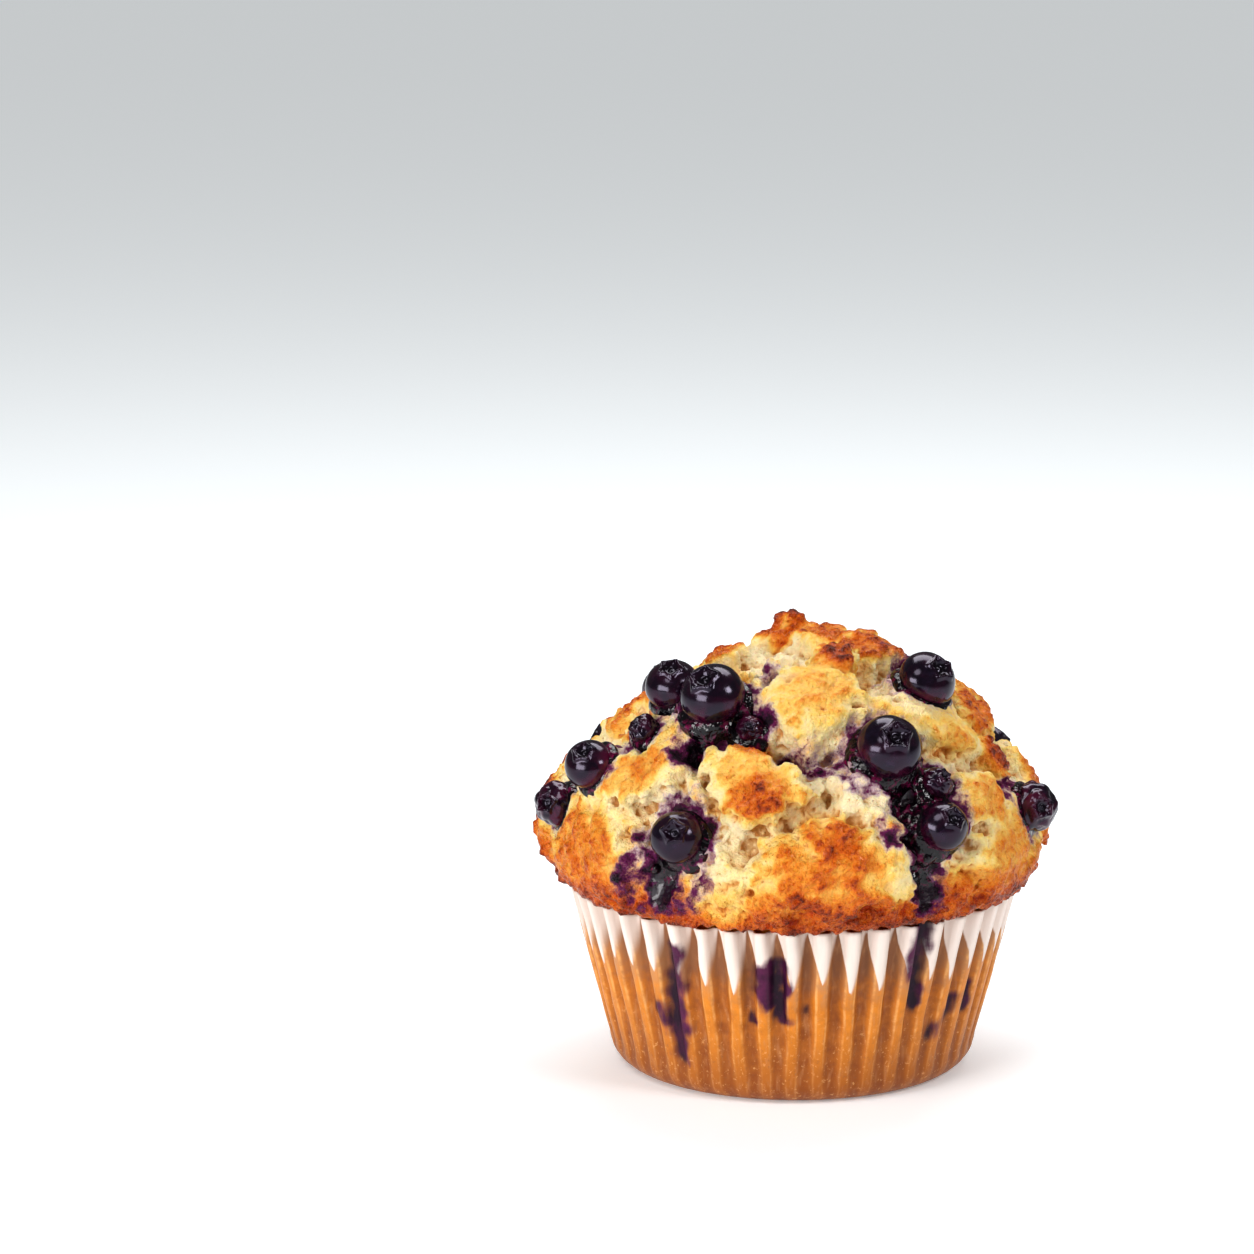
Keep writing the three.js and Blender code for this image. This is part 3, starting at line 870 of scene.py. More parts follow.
@dataclass(frozen=True)
class PaperFinish:
    """Greaseproof paper: dry and white at the tops of the ridges, see-through brown where it touches the crumb."""

    dry: Colour = paint(238, 222, 212)
    tan: Colour = paint(196, 142, 98)
    valley: Colour = paint(138, 90, 58)
    honey: Colour = paint(226, 140, 44)
    toast: Colour = paint(132, 68, 26)
    # pale flecks in the paper, and the painted highlight along the fold edges
    pale: Colour = paint(246, 194, 130)
    shadow: Colour = paint(206, 184, 170)
    purple: Colour = paint(100, 30, 76)
    ink: Colour = paint(38, 10, 34)

    def material(self) -> bpy.types.Material:
        """The material, which reads the case's crest, side, drop, white and stain."""
        material, tree = new_material("greased_paper")
        crest, side, drop, white = (tree.attribute(name) for name in ("crest", "side", "drop", "white"))
        stain = tree.attribute("stain")
        streak = self._streaks(tree)
        cloud = tree.noise(2.6, 3.0, 0.6)
        ridge = tree.step(crest, -0.9, 0.9)
        upper = tree.blend(self.valley, self.tan, ridge)
        lower = tree.blend(self.toast, self.honey, tree.clamp(ridge * 0.55 + cloud * 0.9 - 0.2))
        colour = tree.blend(upper, lower, tree.step(drop + (cloud - 0.5) * 10.0, 6.0, 17.0))
        colour = tree.blend(colour, self.toast, tree.step(drop + (cloud - 0.5) * 8.0, 19.0, 38.0) * 0.75)
        colour = tree.blend(colour, self.tan, tree.step(streak, 0.48, 0.8) * 0.4)
        speck = tree.noise(0.8, 2.0, 0.7)
        colour = tree.blend(colour, self.valley, tree.step(speck, 0.58, 0.78) * tree.step(drop, 14.0, 30.0) * 0.6)
        colour = tree.blend(colour, self.pale, (1.0 - tree.step(speck, 0.26, 0.42)) * tree.step(drop, 10.0, 28.0) * 0.4)
        # painted highlight: pale lines along both edges of each ridge, fainter lower down
        fold_highlight = 1.0 - tree.step(tree.maths("ABSOLUTE", crest - 0.45), 0.05, 0.32)
        fold_highlight_share = 0.5 - tree.step(drop, 14.0, 30.0) * 0.36
        colour = tree.blend(colour, self.pale, fold_highlight * tree.step(cloud, 0.3, 0.7) * fold_highlight_share)
        soft = 0.03 + tree.clamp(side) * 0.2
        dry = tree.step(white + (cloud - 0.5) * 0.06, soft * -1.0, soft)
        colour = tree.blend(colour, tree.blend(self.dry, self.shadow, tree.clamp(side) * 0.6), dry)
        soaked = stain + (cloud + streak - 1.0) * 0.5 * tree.step(stain, 0.02, 0.3)
        juice = tree.blend(self.ink, self.purple, tree.clamp(ridge * 0.6 + (cloud - 0.5) * 1.6))
        colour = tree.blend(colour, juice, tree.step(soaked, 0.02, 0.8))
        inputs = {
            "Base Color": colour,
            "Roughness": 0.34 + cloud * 0.2,
            "Specular IOR Level": 0.3,
            "Normal": tree.bump(streak * 0.5 + tree.noise(0.5, 3.0, 0.6) * 0.5, 0.08, 0.6),
        }
        close_material(tree, inputs)
        return material

    @staticmethod
    def _streaks(tree: Tree) -> Field:
        """Fine marks that run up and down the paper."""
        mapping = tree.field("ShaderNodeMapping", None, {"Vector": tree.place, "Scale": (1.0, 1.0, 0.12)})
        inputs = {"Vector": mapping, "Scale": 1.0 / (0.9 * MM), "Detail": 3.0}
        return tree.field("ShaderNodeTexNoise", None, inputs, "Fac")


@dataclass(frozen=True)
class FloorFinish:
    """Plain pale studio floor, lit a little from below."""

    glow: float
    tint: Colour = paint(246, 251, 254)
    light: Colour = paint(248, 252, 255)

    def material(self) -> bpy.types.Material:
        """The material."""
        material, tree = new_material("studio_floor")
        inputs = {"Base Color": self.tint, "Roughness": 0.7, "Specular IOR Level": 0.1}
        close_material(tree, {**inputs, "Emission Color": self.light, "Emission Strength": self.glow})
        return material


# Meshes


def new_piece(name: str, points: Points, faces: list, material: bpy.types.Material) -> bpy.types.Object:
    """A mesh object in the scene.

    Args:
        name: The piece's name.
        points: Its vertices in millimetres.
        faces: Its faces, each a row of vertex numbers.
        material: Its material.

    Returns:
        The object, at the origin.
    """
    mesh = bpy.data.meshes.new(name)
    mesh.from_pydata((points * MM).tolist(), [], faces)
    mesh.materials.append(material)
    mesh.shade_smooth()
    piece = bpy.data.objects.new(name, mesh)
    bpy.context.scene.collection.objects.link(piece)
    return piece


def settle(piece: bpy.types.Object) -> None:
    """Turns a piece with modifiers into a plain mesh."""
    graph = bpy.context.evaluated_depsgraph_get()
    settled = bpy.data.meshes.new_from_object(piece.evaluated_get(graph))
    piece.modifiers.clear()
    old = piece.data
    piece.data = settled
    settled.name = piece.name
    bpy.data.meshes.remove(old)
    settled.shade_smooth()


def vertex_places(mesh: bpy.types.Mesh) -> Points:
    """A mesh's vertices in millimetres."""
    flat = np.empty(len(mesh.vertices) * 3)
    mesh.vertices.foreach_get("co", flat)
    return flat.reshape(-1, 3) / MM


def vertex_normals(mesh: bpy.types.Mesh) -> Points:
    """The directions that a mesh faces at its vertices."""
    flat = np.empty(len(mesh.vertices) * 3)
    mesh.vertices.foreach_get("normal", flat)
    return flat.reshape(-1, 3)


def move_vertices(mesh: bpy.types.Mesh, points: Points) -> None:
    """Puts a mesh's vertices at places in millimetres."""
    mesh.vertices.foreach_set("co", (points * MM).ravel())
    mesh.update()


def keep_number(mesh: bpy.types.Mesh, name: str, numbers: Numbers) -> None:
    """Stores a number for each vertex under a name."""
    if name in mesh.attributes:
        mesh.attributes.remove(mesh.attributes[name])
    mesh.attributes.new(name, "FLOAT", "POINT").data.foreach_set("value", np.asarray(numbers, np.float32))


class Neighbours:
    """The mean of each vertex's neighbours on a mesh."""

    def __init__(self, mesh: bpy.types.Mesh) -> None:
        """Reads the mesh's edges."""
        pairs = np.empty(len(mesh.edges) * 2, np.int64)
        mesh.edges.foreach_get("vertices", pairs)
        pairs = pairs.reshape(-1, 2)
        self.start = np.concatenate([pairs[:, 0], pairs[:, 1]])
        self.end = np.concatenate([pairs[:, 1], pairs[:, 0]])
        self.count = len(mesh.vertices)
        self.degree = np.maximum(np.bincount(self.start, minlength=self.count), 1)

    def mean(self, numbers: Numbers) -> Numbers:
        """The mean over each vertex's neighbours, of numbers or of rows of three."""
        if numbers.ndim == 1:
            return np.bincount(self.start, numbers[self.end], self.count) / self.degree
        return np.stack([self.mean(numbers[:, k]) for k in range(numbers.shape[1])], axis=1)

    def spread(self, numbers: Numbers, rounds: int) -> Numbers:
        """The numbers evened out over several rounds."""
        for _ in range(rounds):
            numbers = 0.5 * numbers + 0.5 * self.mean(numbers)
        return numbers


def ring_faces(rows: int, columns: int) -> list[tuple[int, int, int, int]]:
    """Quads between rows of a closed band, with each row counted anticlockwise and the rows going up."""
    faces = []
    for r in range(rows - 1):
        for c in range(columns):
            right = (c + 1) % columns
            faces.append((r * columns + c, r * columns + right, (r + 1) * columns + right, (r + 1) * columns + c))
    return faces


class ShapeTree:
    """A Geometry Nodes group under construction, with named inputs."""

    def __init__(self, name: str, numbers: dict[str, float]) -> None:
        """Makes the group, its geometry sockets and a number input for each name."""
        self.group = bpy.data.node_groups.new(name, "GeometryNodeTree")
        self.numbers = numbers
        face = self.group.interface
        face.new_socket("Geometry", in_out="OUTPUT", socket_type="NodeSocketGeometry")
        face.new_socket("Geometry", in_out="INPUT", socket_type="NodeSocketGeometry")
        for key in numbers:
            face.new_socket(key, in_out="INPUT", socket_type="NodeSocketFloat")
        self.tree = Tree(self.group)
        self.entry = self.tree.add("NodeGroupInput")

    def given(self, name: str) -> Field:
        """One of the group's inputs."""
        return Field(self.tree, self.entry.outputs[name])

    def shape(self, kind: str, settings: dict | None = None, values: dict | None = None, out: str | int = 0) -> Field:
        """Adds a node and gives one of its outputs."""
        return self.tree.field(kind, settings, values, out)

    def close(self, geometry: Field, material: bpy.types.Material) -> None:
        """Ends the group in real geometry with a material."""
        real = self.shape("GeometryNodeRealizeInstances", None, {"Geometry": geometry})
        dressed = self.shape("GeometryNodeSetMaterial", None, {"Geometry": real, "Material": material})
        self.tree.add("NodeGroupOutput", None, {"Geometry": dressed})

    def apply(self, piece: bpy.types.Object) -> None:
        """Puts the group on a piece as a modifier with its numbers set."""
        modifier = piece.modifiers.new(self.group.name, "NODES")
        modifier.node_group = self.group
        for item in self.group.interface.items_tree:
            if item.in_out == "INPUT" and item.name in self.numbers:
                modifier[item.identifier] = float(self.numbers[item.name])


# Sub-assemblies


@dataclass(frozen=True)
class Crown:
    """The craggy baked crown, from the lip over the case's rim to the peak."""

    relief: Relief
    finish: CrustFinish = CrustFinish()
    columns: int = 470
    dome_rows: int = 118
    lip_rows: int = 12
    deepest: float = 9.0
    grain_radius: float = 0.8
    grain_density: float = 0.16  # grains on a square millimetre of torn crumb
    voxel: float = 0.6
    hidden_radius: float = 39.5

    def build(self) -> bpy.types.Object:
        """Builds and dresses the crown.

        Returns:
            The finished piece.
        """
        material = self.finish.material()
        piece = self._shell(material)
        self._add_grains(piece, material)
        remesh = piece.modifiers.new("One skin", "REMESH")
        remesh.mode = "VOXEL"
        remesh.voxel_size = self.voxel * MM
        settle(piece)
        self._open_underside(piece.data)
        self._finish_surface(piece.data)
        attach(piece, ROOT)
        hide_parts("muffin")
        return piece

    def _shell(self, material: bpy.types.Material) -> bpy.types.Object:
        """The crown as one closed skin with its broad relief."""
        dome = self.relief.dome
        az = np.arange(self.columns) * 360.0 / self.columns
        rows = []
        for k in range(self.lip_rows):
            t = math.radians(90.0 * k / self.lip_rows)
            r = dome.lip_radius + (dome.radius - dome.lip_radius) * math.sin(t)
            z = dome.waist - (dome.waist - dome.lip_height) * math.cos(t)
            turn = np.radians(az)
            rows.append((np.stack([r * np.sin(turn), -r * np.cos(turn), np.full(len(az), z)], axis=1), k / self.lip_rows))
        for k in range(self.dome_rows):
            rows.append((dome.point(az, 90.0 * (1.0 - k / self.dome_rows)), 1.0))
        places = np.concatenate([places for places, _ in rows])
        share = np.repeat([share for _, share in rows], self.columns)
        ground = self.relief.survey(places)
        height = np.maximum(ground.height * share, -self.deepest)
        points = places + dome.normal(places) * height[:, None]
        top = points[-self.columns :].mean(axis=0)
        points = np.concatenate([points, [[0.0, 0.0, dome.lip_height], top]])
        faces = ring_faces(len(rows), self.columns)
        under, peak, last = len(points) - 2, len(points) - 1, (len(rows) - 1) * self.columns
        for c in range(self.columns):
            right = (c + 1) % self.columns
            faces.append((right, c, under))
            faces.append((last + c, last + right, peak))
        piece = new_piece("muffin_crown", points, faces, material)
        torn = (1.0 - ground.crust) * smooth(share, 0.3, 0.9) * smooth(ground.wet_gap, 0.4, 2.2)
        keep_number(piece.data, "torn", np.append(torn, [0.0, 0.0]))
        return piece

    def _add_grains(self, piece: bpy.types.Object, material: bpy.types.Material) -> None:
        """Scatters lumps of crumb over the torn places."""
        numbers = {
            "Grain radius": self.grain_radius * MM,
            "Density": self.grain_density / MM**2,
            "Smallest": 0.35,
            "Largest": 1.3,
        }
        shape = ShapeTree("Crumb grains", numbers)
        skin = shape.given("Geometry")
        torn = shape.shape("GeometryNodeInputNamedAttribute", {"data_type": "FLOAT"}, {"Name": "torn"})
        spread = {"Mesh": skin, "Density": torn * shape.given("Density"), "Seed": 7}
        spots = shape.shape("GeometryNodeDistributePointsOnFaces", None, spread)
        ball = {"Radius": shape.given("Grain radius"), "Subdivisions": 2}
        grain = shape.shape("GeometryNodeMeshIcoSphere", None, ball)
        size = {"Min": shape.given("Smallest"), "Max": shape.given("Largest"), "Seed": 3}
        scale = shape.shape("FunctionNodeRandomValue", {"data_type": "FLOAT"}, {2: size["Min"], 3: size["Max"], 8: 3}, 1)
        grains = shape.shape("GeometryNodeInstanceOnPoints", None, {"Points": spots, "Instance": grain, "Scale": scale})
        joined = shape.tree.add("GeometryNodeJoinGeometry")
        for part in (skin, grains):
            shape.tree.nodes.links.new(part.socket, joined.inputs[0])
        shape.close(Field(shape.tree, joined.outputs[0]), material)
        shape.apply(piece)

    def _open_underside(self, mesh: bpy.types.Mesh) -> None:
        """Makes the hidden middle of the flat underside one large face."""
        dome = self.relief.dome
        work = bmesh.new()
        work.from_mesh(mesh)
        limit = (dome.lip_height + 0.8) * MM
        flat = []
        for face in work.faces:
            centre = face.calc_center_median()
            if centre.z < limit and math.hypot(centre.x, centre.y) < self.hidden_radius * MM:
                flat.append(face)
        bmesh.ops.delete(work, geom=flat, context="FACES")
        edges = [edge for edge in work.edges if edge.is_boundary]
        bmesh.ops.holes_fill(work, edges=edges, sides=0)
        bmesh.ops.recalc_face_normals(work, faces=work.faces)
        work.to_mesh(mesh)
        work.free()

    def _finish_surface(self, mesh: bpy.types.Mesh) -> None:
        """Roughens the remeshed skin and stores what the finish reads."""
        dome = self.relief.dome
        neighbours = Neighbours(mesh)
        points = vertex_places(mesh)
        places, _ = dome.under(points)
        ground = self.relief.survey(places)
        shown = smooth(np.hypot(points[:, 0], points[:, 1]) + np.maximum(points[:, 2] - 40.0, 0.0), 40.0, 44.0)
        ragged = ground.wet_gap + 0.9 * Noise(21).rough(places, 2.2)
        wet = 1.0 - smooth(ragged, 0.1, 1.0)
        dry = shown * (1.0 - 0.8 * wet)
        crumb = 0.9 * Noise(22).rough(points, 2.7, 3) + 0.95 * (0.42 - Noise(23).grains(points, 1.8))
        crust = 0.2 * Noise(24).rough(points, 1.4, 2) + 0.16 * Noise(25).creases(points, 1.9)
        crust = (crust + 0.55 * (0.4 - Noise(30).grains(points, 1.6))) * (1.0 + 1.2 * ground.bake**2)
        rise = mixed(crumb, crust, ground.crust) * dry
        points = points + vertex_normals(mesh) * rise[:, None]
        calm = neighbours.spread(points, 6)
        points = mixed(points, calm, (wet * 0.9)[:, None])
        move_vertices(mesh, points)
        normals = vertex_normals(mesh)
        even = neighbours.spread(points, 3)
        near = np.sum((points - even) * normals, axis=1)
        even = neighbours.spread(even, 11)
        bulge = np.sum((points - even) * normals, axis=1)
        even = neighbours.spread(even, 30)
        broad = np.sum((points - even) * normals, axis=1)
        around = smooth(places[:, 2], 51.0, 44.0) * (0.6 + 0.2 * smooth(places[:, 2], 45.0, 38.0))
        bake = np.maximum(ground.bake, around * (1.0 + 0.15 * Noise(26).soft(places, 9.0)))
        for pale in PALE_PATCHES:
            bake = bake * (0.45 + 0.55 * smooth(pale.reach(dome, places), 0.5, 1.15))
        bake = bake * (1.0 + 0.14 * Noise(27).rough(places, 4.0))
        bake += 0.16 * np.clip(broad, -1.0, 1.0) * smooth(bake, 0.1, 0.5) + 0.4 * np.clip(near, -0.2, 0.25) * ground.crust
        spill = 1.3 * Noise(28).rough(places, 5.0) + 1.5 * Noise(29).rough(places, 2.2)
        stain = 1.0 - smooth(ground.soak_gap + spill, -0.6, 4.2)
        keep_number(mesh, "bake", np.clip(bake, 0.0, 1.0))
        keep_number(mesh, "stain", stain)
        keep_number(mesh, "wet", wet * smooth(-ground.soak_gap, -1.8, 0.2))
        # how hollow each point is, which the finish turns into painted shade
        keep_number(mesh, "pit_shade", np.clip(-0.5 * broad - 0.65 * bulge - 0.9 * near, 0.0, 1.0))


@dataclass(frozen=True)
class CrumbBase:
    """The part of the muffin inside the case, hidden by the paper."""

    finish: CrustFinish = CrustFinish()
    top_radius: float = 40.6
    top: float = 37.2
    foot_radius: float = 32.0
    foot: float = 5.5
    flat_radius: float = 29.0
    flat: float = 0.8
    sides: int = 90

    def build(self, material: bpy.types.Material) -> bpy.types.Object:
        """Builds the hidden base in the crown's own material.

        Args:
            material: The crown's material.

        Returns:
            The finished piece.
        """
        turn = np.arange(self.sides) * 2.0 * math.pi / self.sides
        rows = [(0.02, self.flat), (self.flat_radius, self.flat), (self.foot_radius, self.foot)]
        rows += [(self.top_radius, self.top), (0.02, self.top)]
        points = [np.stack([r * np.sin(turn), -r * np.cos(turn), np.full(self.sides, z)], axis=1) for r, z in rows]
        faces = ring_faces(len(rows), self.sides)
        faces.append(tuple(reversed(range(self.sides))))
        faces.append(tuple(range((len(rows) - 1) * self.sides, len(rows) * self.sides)))
        piece = new_piece("muffin_base", np.concatenate(points), faces, material)
        for name, level in (("bake", 0.6), ("stain", 0.0), ("wet", 0.0), ("pit_shade", 0.0)):
            keep_number(piece.data, name, np.full(len(piece.data.vertices), level))
        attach(piece, ROOT)
        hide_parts("muffin")
        return piece


@dataclass(frozen=True)
class PaperStain:
    """A place where juice has soaked through the paper: bearing and height of its ends, half width, and strength."""

    az: float
    top: float
    low_az: float
    bottom: float
    wide: float
    strong: float = 1.0

    def strength(self, points: Points) -> Numbers:
        """How soaked the paper is at each point."""
        a = self._on_wall(self.az, self.top)
        b = self._on_wall(self.low_az, self.bottom)
        along = b - a
        t = np.clip((points - a) @ along / max(along @ along, 1e-6), 0.0, 1.0)
        away = np.linalg.norm(points - a - t[:, None] * along, axis=1)
        return self.strong * (1.0 - smooth(away, 0.1 * self.wide, 1.7 * self.wide))

    @staticmethod
    def _on_wall(az: float, z: float) -> Points:
        """A place on the case's wall."""
        r = 42.8 - 0.2623 * (36.3 - z)
        return np.array([r * math.sin(math.radians(az)), -r * math.cos(math.radians(az)), z])


PAPER_STAINS = (
    PaperStain(-33.2, 31.0, -35.4, 9.5, 2.3, 1.1),
    PaperStain(-40.5, 19.0, -38.5, 15.5, 1.9, 0.85),
    PaperStain(-10.8, 27.0, -10.8, 24.5, 1.3, 0.75),
    PaperStain(-6.8, 28.0, -6.8, 22.5, 2.3, 1.3),
    PaperStain(-2.9, 29.0, -2.9, 18.5, 1.7, 1.0),
    PaperStain(-11.0, 19.0, -11.0, 18.0, 0.9, 0.8),
    PaperStain(4.5, 20.3, 4.5, 19.2, 0.9, 0.6),
    PaperStain(35.5, 37.0, 35.0, 27.0, 2.5, 1.1),
    PaperStain(35.0, 28.0, 36.5, 20.0, 1.9, 1.1),
    PaperStain(59.9, 20.0, 62.0, 15.5, 1.6, 1.0),
    PaperStain(53.5, 18.0, 46.5, 12.5, 2.1, 0.75),
    PaperStain(118, 30.0, 120, 17.0, 1.7, 1.0),
    PaperStain(152, 26.0, 151, 14.0, 1.5, 0.85),
    PaperStain(172, 35.0, 174, 22.0, 1.8, 1.0),
    PaperStain(207, 21.0, 209, 12.0, 1.6, 0.75),
    PaperStain(238, 31.0, 239, 15.0, 1.8, 1.0),
    PaperStain(262, 20.0, 264, 13.0, 1.3, 0.8),
)


@dataclass(frozen=True)
class PaperCase:
    """The fluted paper case."""

    finish: PaperFinish = PaperFinish()
    height: float = 36.3
    rim_radius: float = 43.9
    lean: float = math.tan(math.radians(14.7))
    flat_radius: float = 30.0
    corner: float = 5.5
    flutes: int = 45
    flute_depth: float = 2.3
    thickness: float = 0.35
    columns_each: int = 12
    rows: int = 64
    white_length: float = 12.0

    def depth_at(self, z: float) -> float:
        """The depth of the flutes at a height."""
        return self.flute_depth * float(smooth(np.float64(z), -6.0, self.height))

    def build(self) -> bpy.types.Object:
        """Builds and dresses the case.

        Returns:
            The finished piece.
        """
        material = self.finish.material()
        piece = new_piece("fluted_case", np.zeros((1, 3)), [], material)
        self._fold_paper(material).apply(piece)
        wall = piece.modifiers.new("Paper", "SOLIDIFY")
        wall.thickness = self.thickness * MM
        wall.offset = -1.0
        settle(piece)
        self._soak(piece.data)
        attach(piece, ROOT)
        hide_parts("paper_case")
        return piece

    def _fold_paper(self, material: bpy.types.Material) -> ShapeTree:
        """The group that turns a flat grid into the fluted case."""
        numbers = {
            "Flutes": self.flutes,
            "Height": self.height * MM,
            "Rim radius": self.rim_radius * MM,
            "Lean": self.lean,
            "Flute depth": self.flute_depth * MM,
            "Flat radius": self.flat_radius * MM,
            "Corner": self.corner * MM,
        }
        shape = ShapeTree("Fluted paper", numbers)
        tree = shape.tree
        grid_size = {"Size X": 1.0, "Size Y": 1.0, "Vertices X": self.flutes * self.columns_each + 1}
        grid = shape.shape("GeometryNodeMeshGrid", None, {**grid_size, "Vertices Y": self.rows})
        split = tree.add("ShaderNodeSeparateXYZ", None, {0: shape.shape("GeometryNodeInputPosition")})
        turn = (Field(tree, split.outputs[0]) + 0.5) * (2.0 * math.pi)
        run = Field(tree, split.outputs[1]) + 0.5
        height, corner, flat = (shape.given(name) for name in ("Height", "Corner", "Flat radius"))
        bend = tree.clamp((run - 0.12) / 0.18) * (math.pi / 2.0)
        wall = tree.clamp((run - 0.3) / 0.7)
        z = corner * (1.0 - tree.maths("COSINE", bend)) + (height - corner) * wall
        depth = shape.given("Flute depth") * tree.step(z, -6.0 * MM, height)
        foot_depth = self.depth_at(self.corner) * MM
        foot = shape.given("Rim radius") - shape.given("Lean") * (height - corner) - foot_depth / 2.0
        radius = flat * tree.clamp(run / 0.12) + (foot - flat) * tree.maths("SINE", bend)
        radius = radius + (height - corner) * wall * shape.given("Lean")
        radius = radius - (depth - foot_depth) * 0.5 * tree.clamp(wall * 40.0)
        fade = tree.clamp((run - 0.12) / 0.18) ** 1.5
        around = shape.shape(
            "ShaderNodeCombineXYZ",
            None,
            {0: tree.maths("SINE", turn), 1: tree.maths("COSINE", turn), 2: z * 18.0},
        )
        drift = shape.shape("ShaderNodeTexNoise", None, {"Vector": around, "Scale": 5.0, "Detail": 1.0}) - 0.5
        phase = turn * shape.given("Flutes")
        crest = tree.maths("COSINE", phase + drift * 1.5)
        bowed = crest * (1.5 - crest * crest * 0.5)
        side = bowed * (1.5 - bowed * bowed * 0.5)
        radius = radius + side * depth * fade * 0.5 + drift * fade * 0.5 * MM
        x = radius * tree.maths("SINE", turn)
        y = radius * tree.maths("COSINE", turn) * -1.0
        nick = tree.clamp((run - 0.96) / 0.04) * drift * 0.7 * MM
        spot = shape.shape("ShaderNodeCombineXYZ", None, {0: x, 1: y, 2: z + nick})
        flute = tree.maths("FLOOR", phase / (2.0 * math.pi) + 0.5)
        whole = tree.maths("MODULO", flute, shape.given("Flutes"))
        luck = shape.shape("ShaderNodeTexWhiteNoise", {"noise_dimensions": "1D"}, {"W": whole}, "Value")
        drop = (height - z) / MM
        length = self.white_length * (0.86 + luck * 0.3)
        half = 0.96 * tree.maths("POWER", tree.clamp(1.0 - drop / length), 0.9)
        turned = tree.maths("ARCCOSINE", tree.clamp(crest * 0.5 + 0.5) * 2.0 - 1.0) / math.pi
        white = half - turned - 0.05 * tree.step(drop, length - 0.5, length)
        geometry = grid
        right = tree.maths("SINE", phase + drift * 1.5)
        for name, value in (("crest", crest), ("side", right), ("drop", drop), ("white", white)):
            stored = {"Geometry": geometry, "Name": name, "Value": value}
            geometry = shape.shape("GeometryNodeStoreNamedAttribute", {"data_type": "FLOAT"}, stored)
        geometry = shape.shape("GeometryNodeSetPosition", None, {"Geometry": geometry, "Position": spot})
        merged = shape.shape("GeometryNodeMergeByDistance", None, {"Geometry": geometry, "Distance": 0.02 * MM})
        shape.close(merged, material)
        return shape

    def _soak(self, mesh: bpy.types.Mesh) -> None:
        """Stores how soaked with juice the paper is."""
        points = vertex_places(mesh)
        bent = points + 1.1 * np.stack([Noise(60 + k).soft(points, 3.0) for k in range(3)], axis=1)
        soaked = np.zeros(len(points))
        for stain in PAPER_STAINS:
            soaked = np.maximum(soaked, stain.strength(bent))
        keep_number(mesh, "stain", soaked)


@dataclass(frozen=True)
class BerryMaker:
    """Builds the berries: flattened balls with a five-lobed blossom end, wrinkled where they have burst."""

    relief: Relief
    finish: BerryFinish = BerryFinish()
    oblate: float = 0.87
    rows: int = 56
    columns: int = 90
    lip_radius: float = 0.35  # of the blossom's lip, in the berry's own radii
    lobe: float = 0.13
    lip_height: float = 0.09
    hollow: float = 0.17

    def build(self, berry: Berry, material: bpy.types.Material) -> bpy.types.Object:
        """Builds one berry.

        Args:
            berry: Which one.
            material: The skin's material.

        Returns:
            The finished piece.
        """
        seed = int(berry.az * 7 + berry.pol * 13) % 997
        local, hollow = self._shape(berry, seed)
        across = np.cross([0.0, 0.0, 1.0], berry.axis)
        across /= np.linalg.norm(across)
        frame = np.stack([across, np.cross(berry.axis, across), berry.axis], axis=1)
        centre = self.relief.dome.point(berry.az, berry.pol, berry.lift)
        faces = ring_faces(self.rows, self.columns)
        faces.append(tuple(reversed(range(self.columns))))
        faces.append(tuple(range((self.rows - 1) * self.columns, self.rows * self.columns)))
        piece = new_piece(f"{berry.name}_skin", local @ frame.T + centre, faces, material)
        low = 1.0 - smooth(local @ frame.T @ self.relief.dome.normal(centre), -0.1 * berry.size, 0.25 * berry.size)
        blush = np.clip(0.15 + 0.65 * low + (0.4 if berry.burst else 0.0), 0.0, 1.0)
        keep_number(piece.data, "blush", blush)
        keep_number(piece.data, "hollow", hollow)
        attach(piece, ROOT)
        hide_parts(berry.name)
        return piece

    def _shape(self, berry: Berry, seed: int) -> tuple[Points, Numbers]:
        """The berry round the origin with its blossom end up, and how deep in the blossom each point is."""
        a = berry.size / 2
        turn = np.arange(self.columns) * 2.0 * math.pi / self.columns
        share = np.linspace(0.0, 1.0, self.rows) ** 0.86
        polar = math.pi * (1.0 - share)
        polar[0], polar[-1] = math.pi - 0.004, 0.004
        polar, turn = (grid.ravel() for grid in np.meshgrid(polar, turn, indexing="ij"))
        flat = np.sin(polar)
        rise = self.oblate * np.cos(polar)
        upper = smooth(rise, 0.0, 0.4)
        skew = 0.25 * chance(seed) * np.cos(turn - 6.0 * chance(seed + 1))
        lobe = 1.0 - np.abs(np.sin(2.5 * turn + 3.0 * chance(seed + 2)))
        lip = self.lip_radius * (1.0 + 0.12 * skew) + self.lobe * lobe
        ridge = np.exp(-(((flat - lip) / 0.055) ** 2)) * (self.lip_height + 0.07 * lobe * chance(seed + 3))
        inside = 1.0 - smooth(flat, 0.12, self.lip_radius)
        scar = 0.05 * np.exp(-((flat / 0.07) ** 2))
        rise = rise + upper * (ridge - self.hollow * inside + scar)
        points = np.stack([flat * np.cos(turn), flat * np.sin(turn), rise], axis=1)
        outward = points / np.linalg.norm(points, axis=1, keepdims=True)
        swell = 0.03 * Noise(seed).soft(points, 0.8)
        if berry.burst:
            swell = swell + 0.1 * Noise(seed + 5).soft(points, 0.7) - 0.06 * Noise(seed + 9).creases(points, 0.5)
        points = points + outward * swell[:, None]
        return points * a, inside * upper


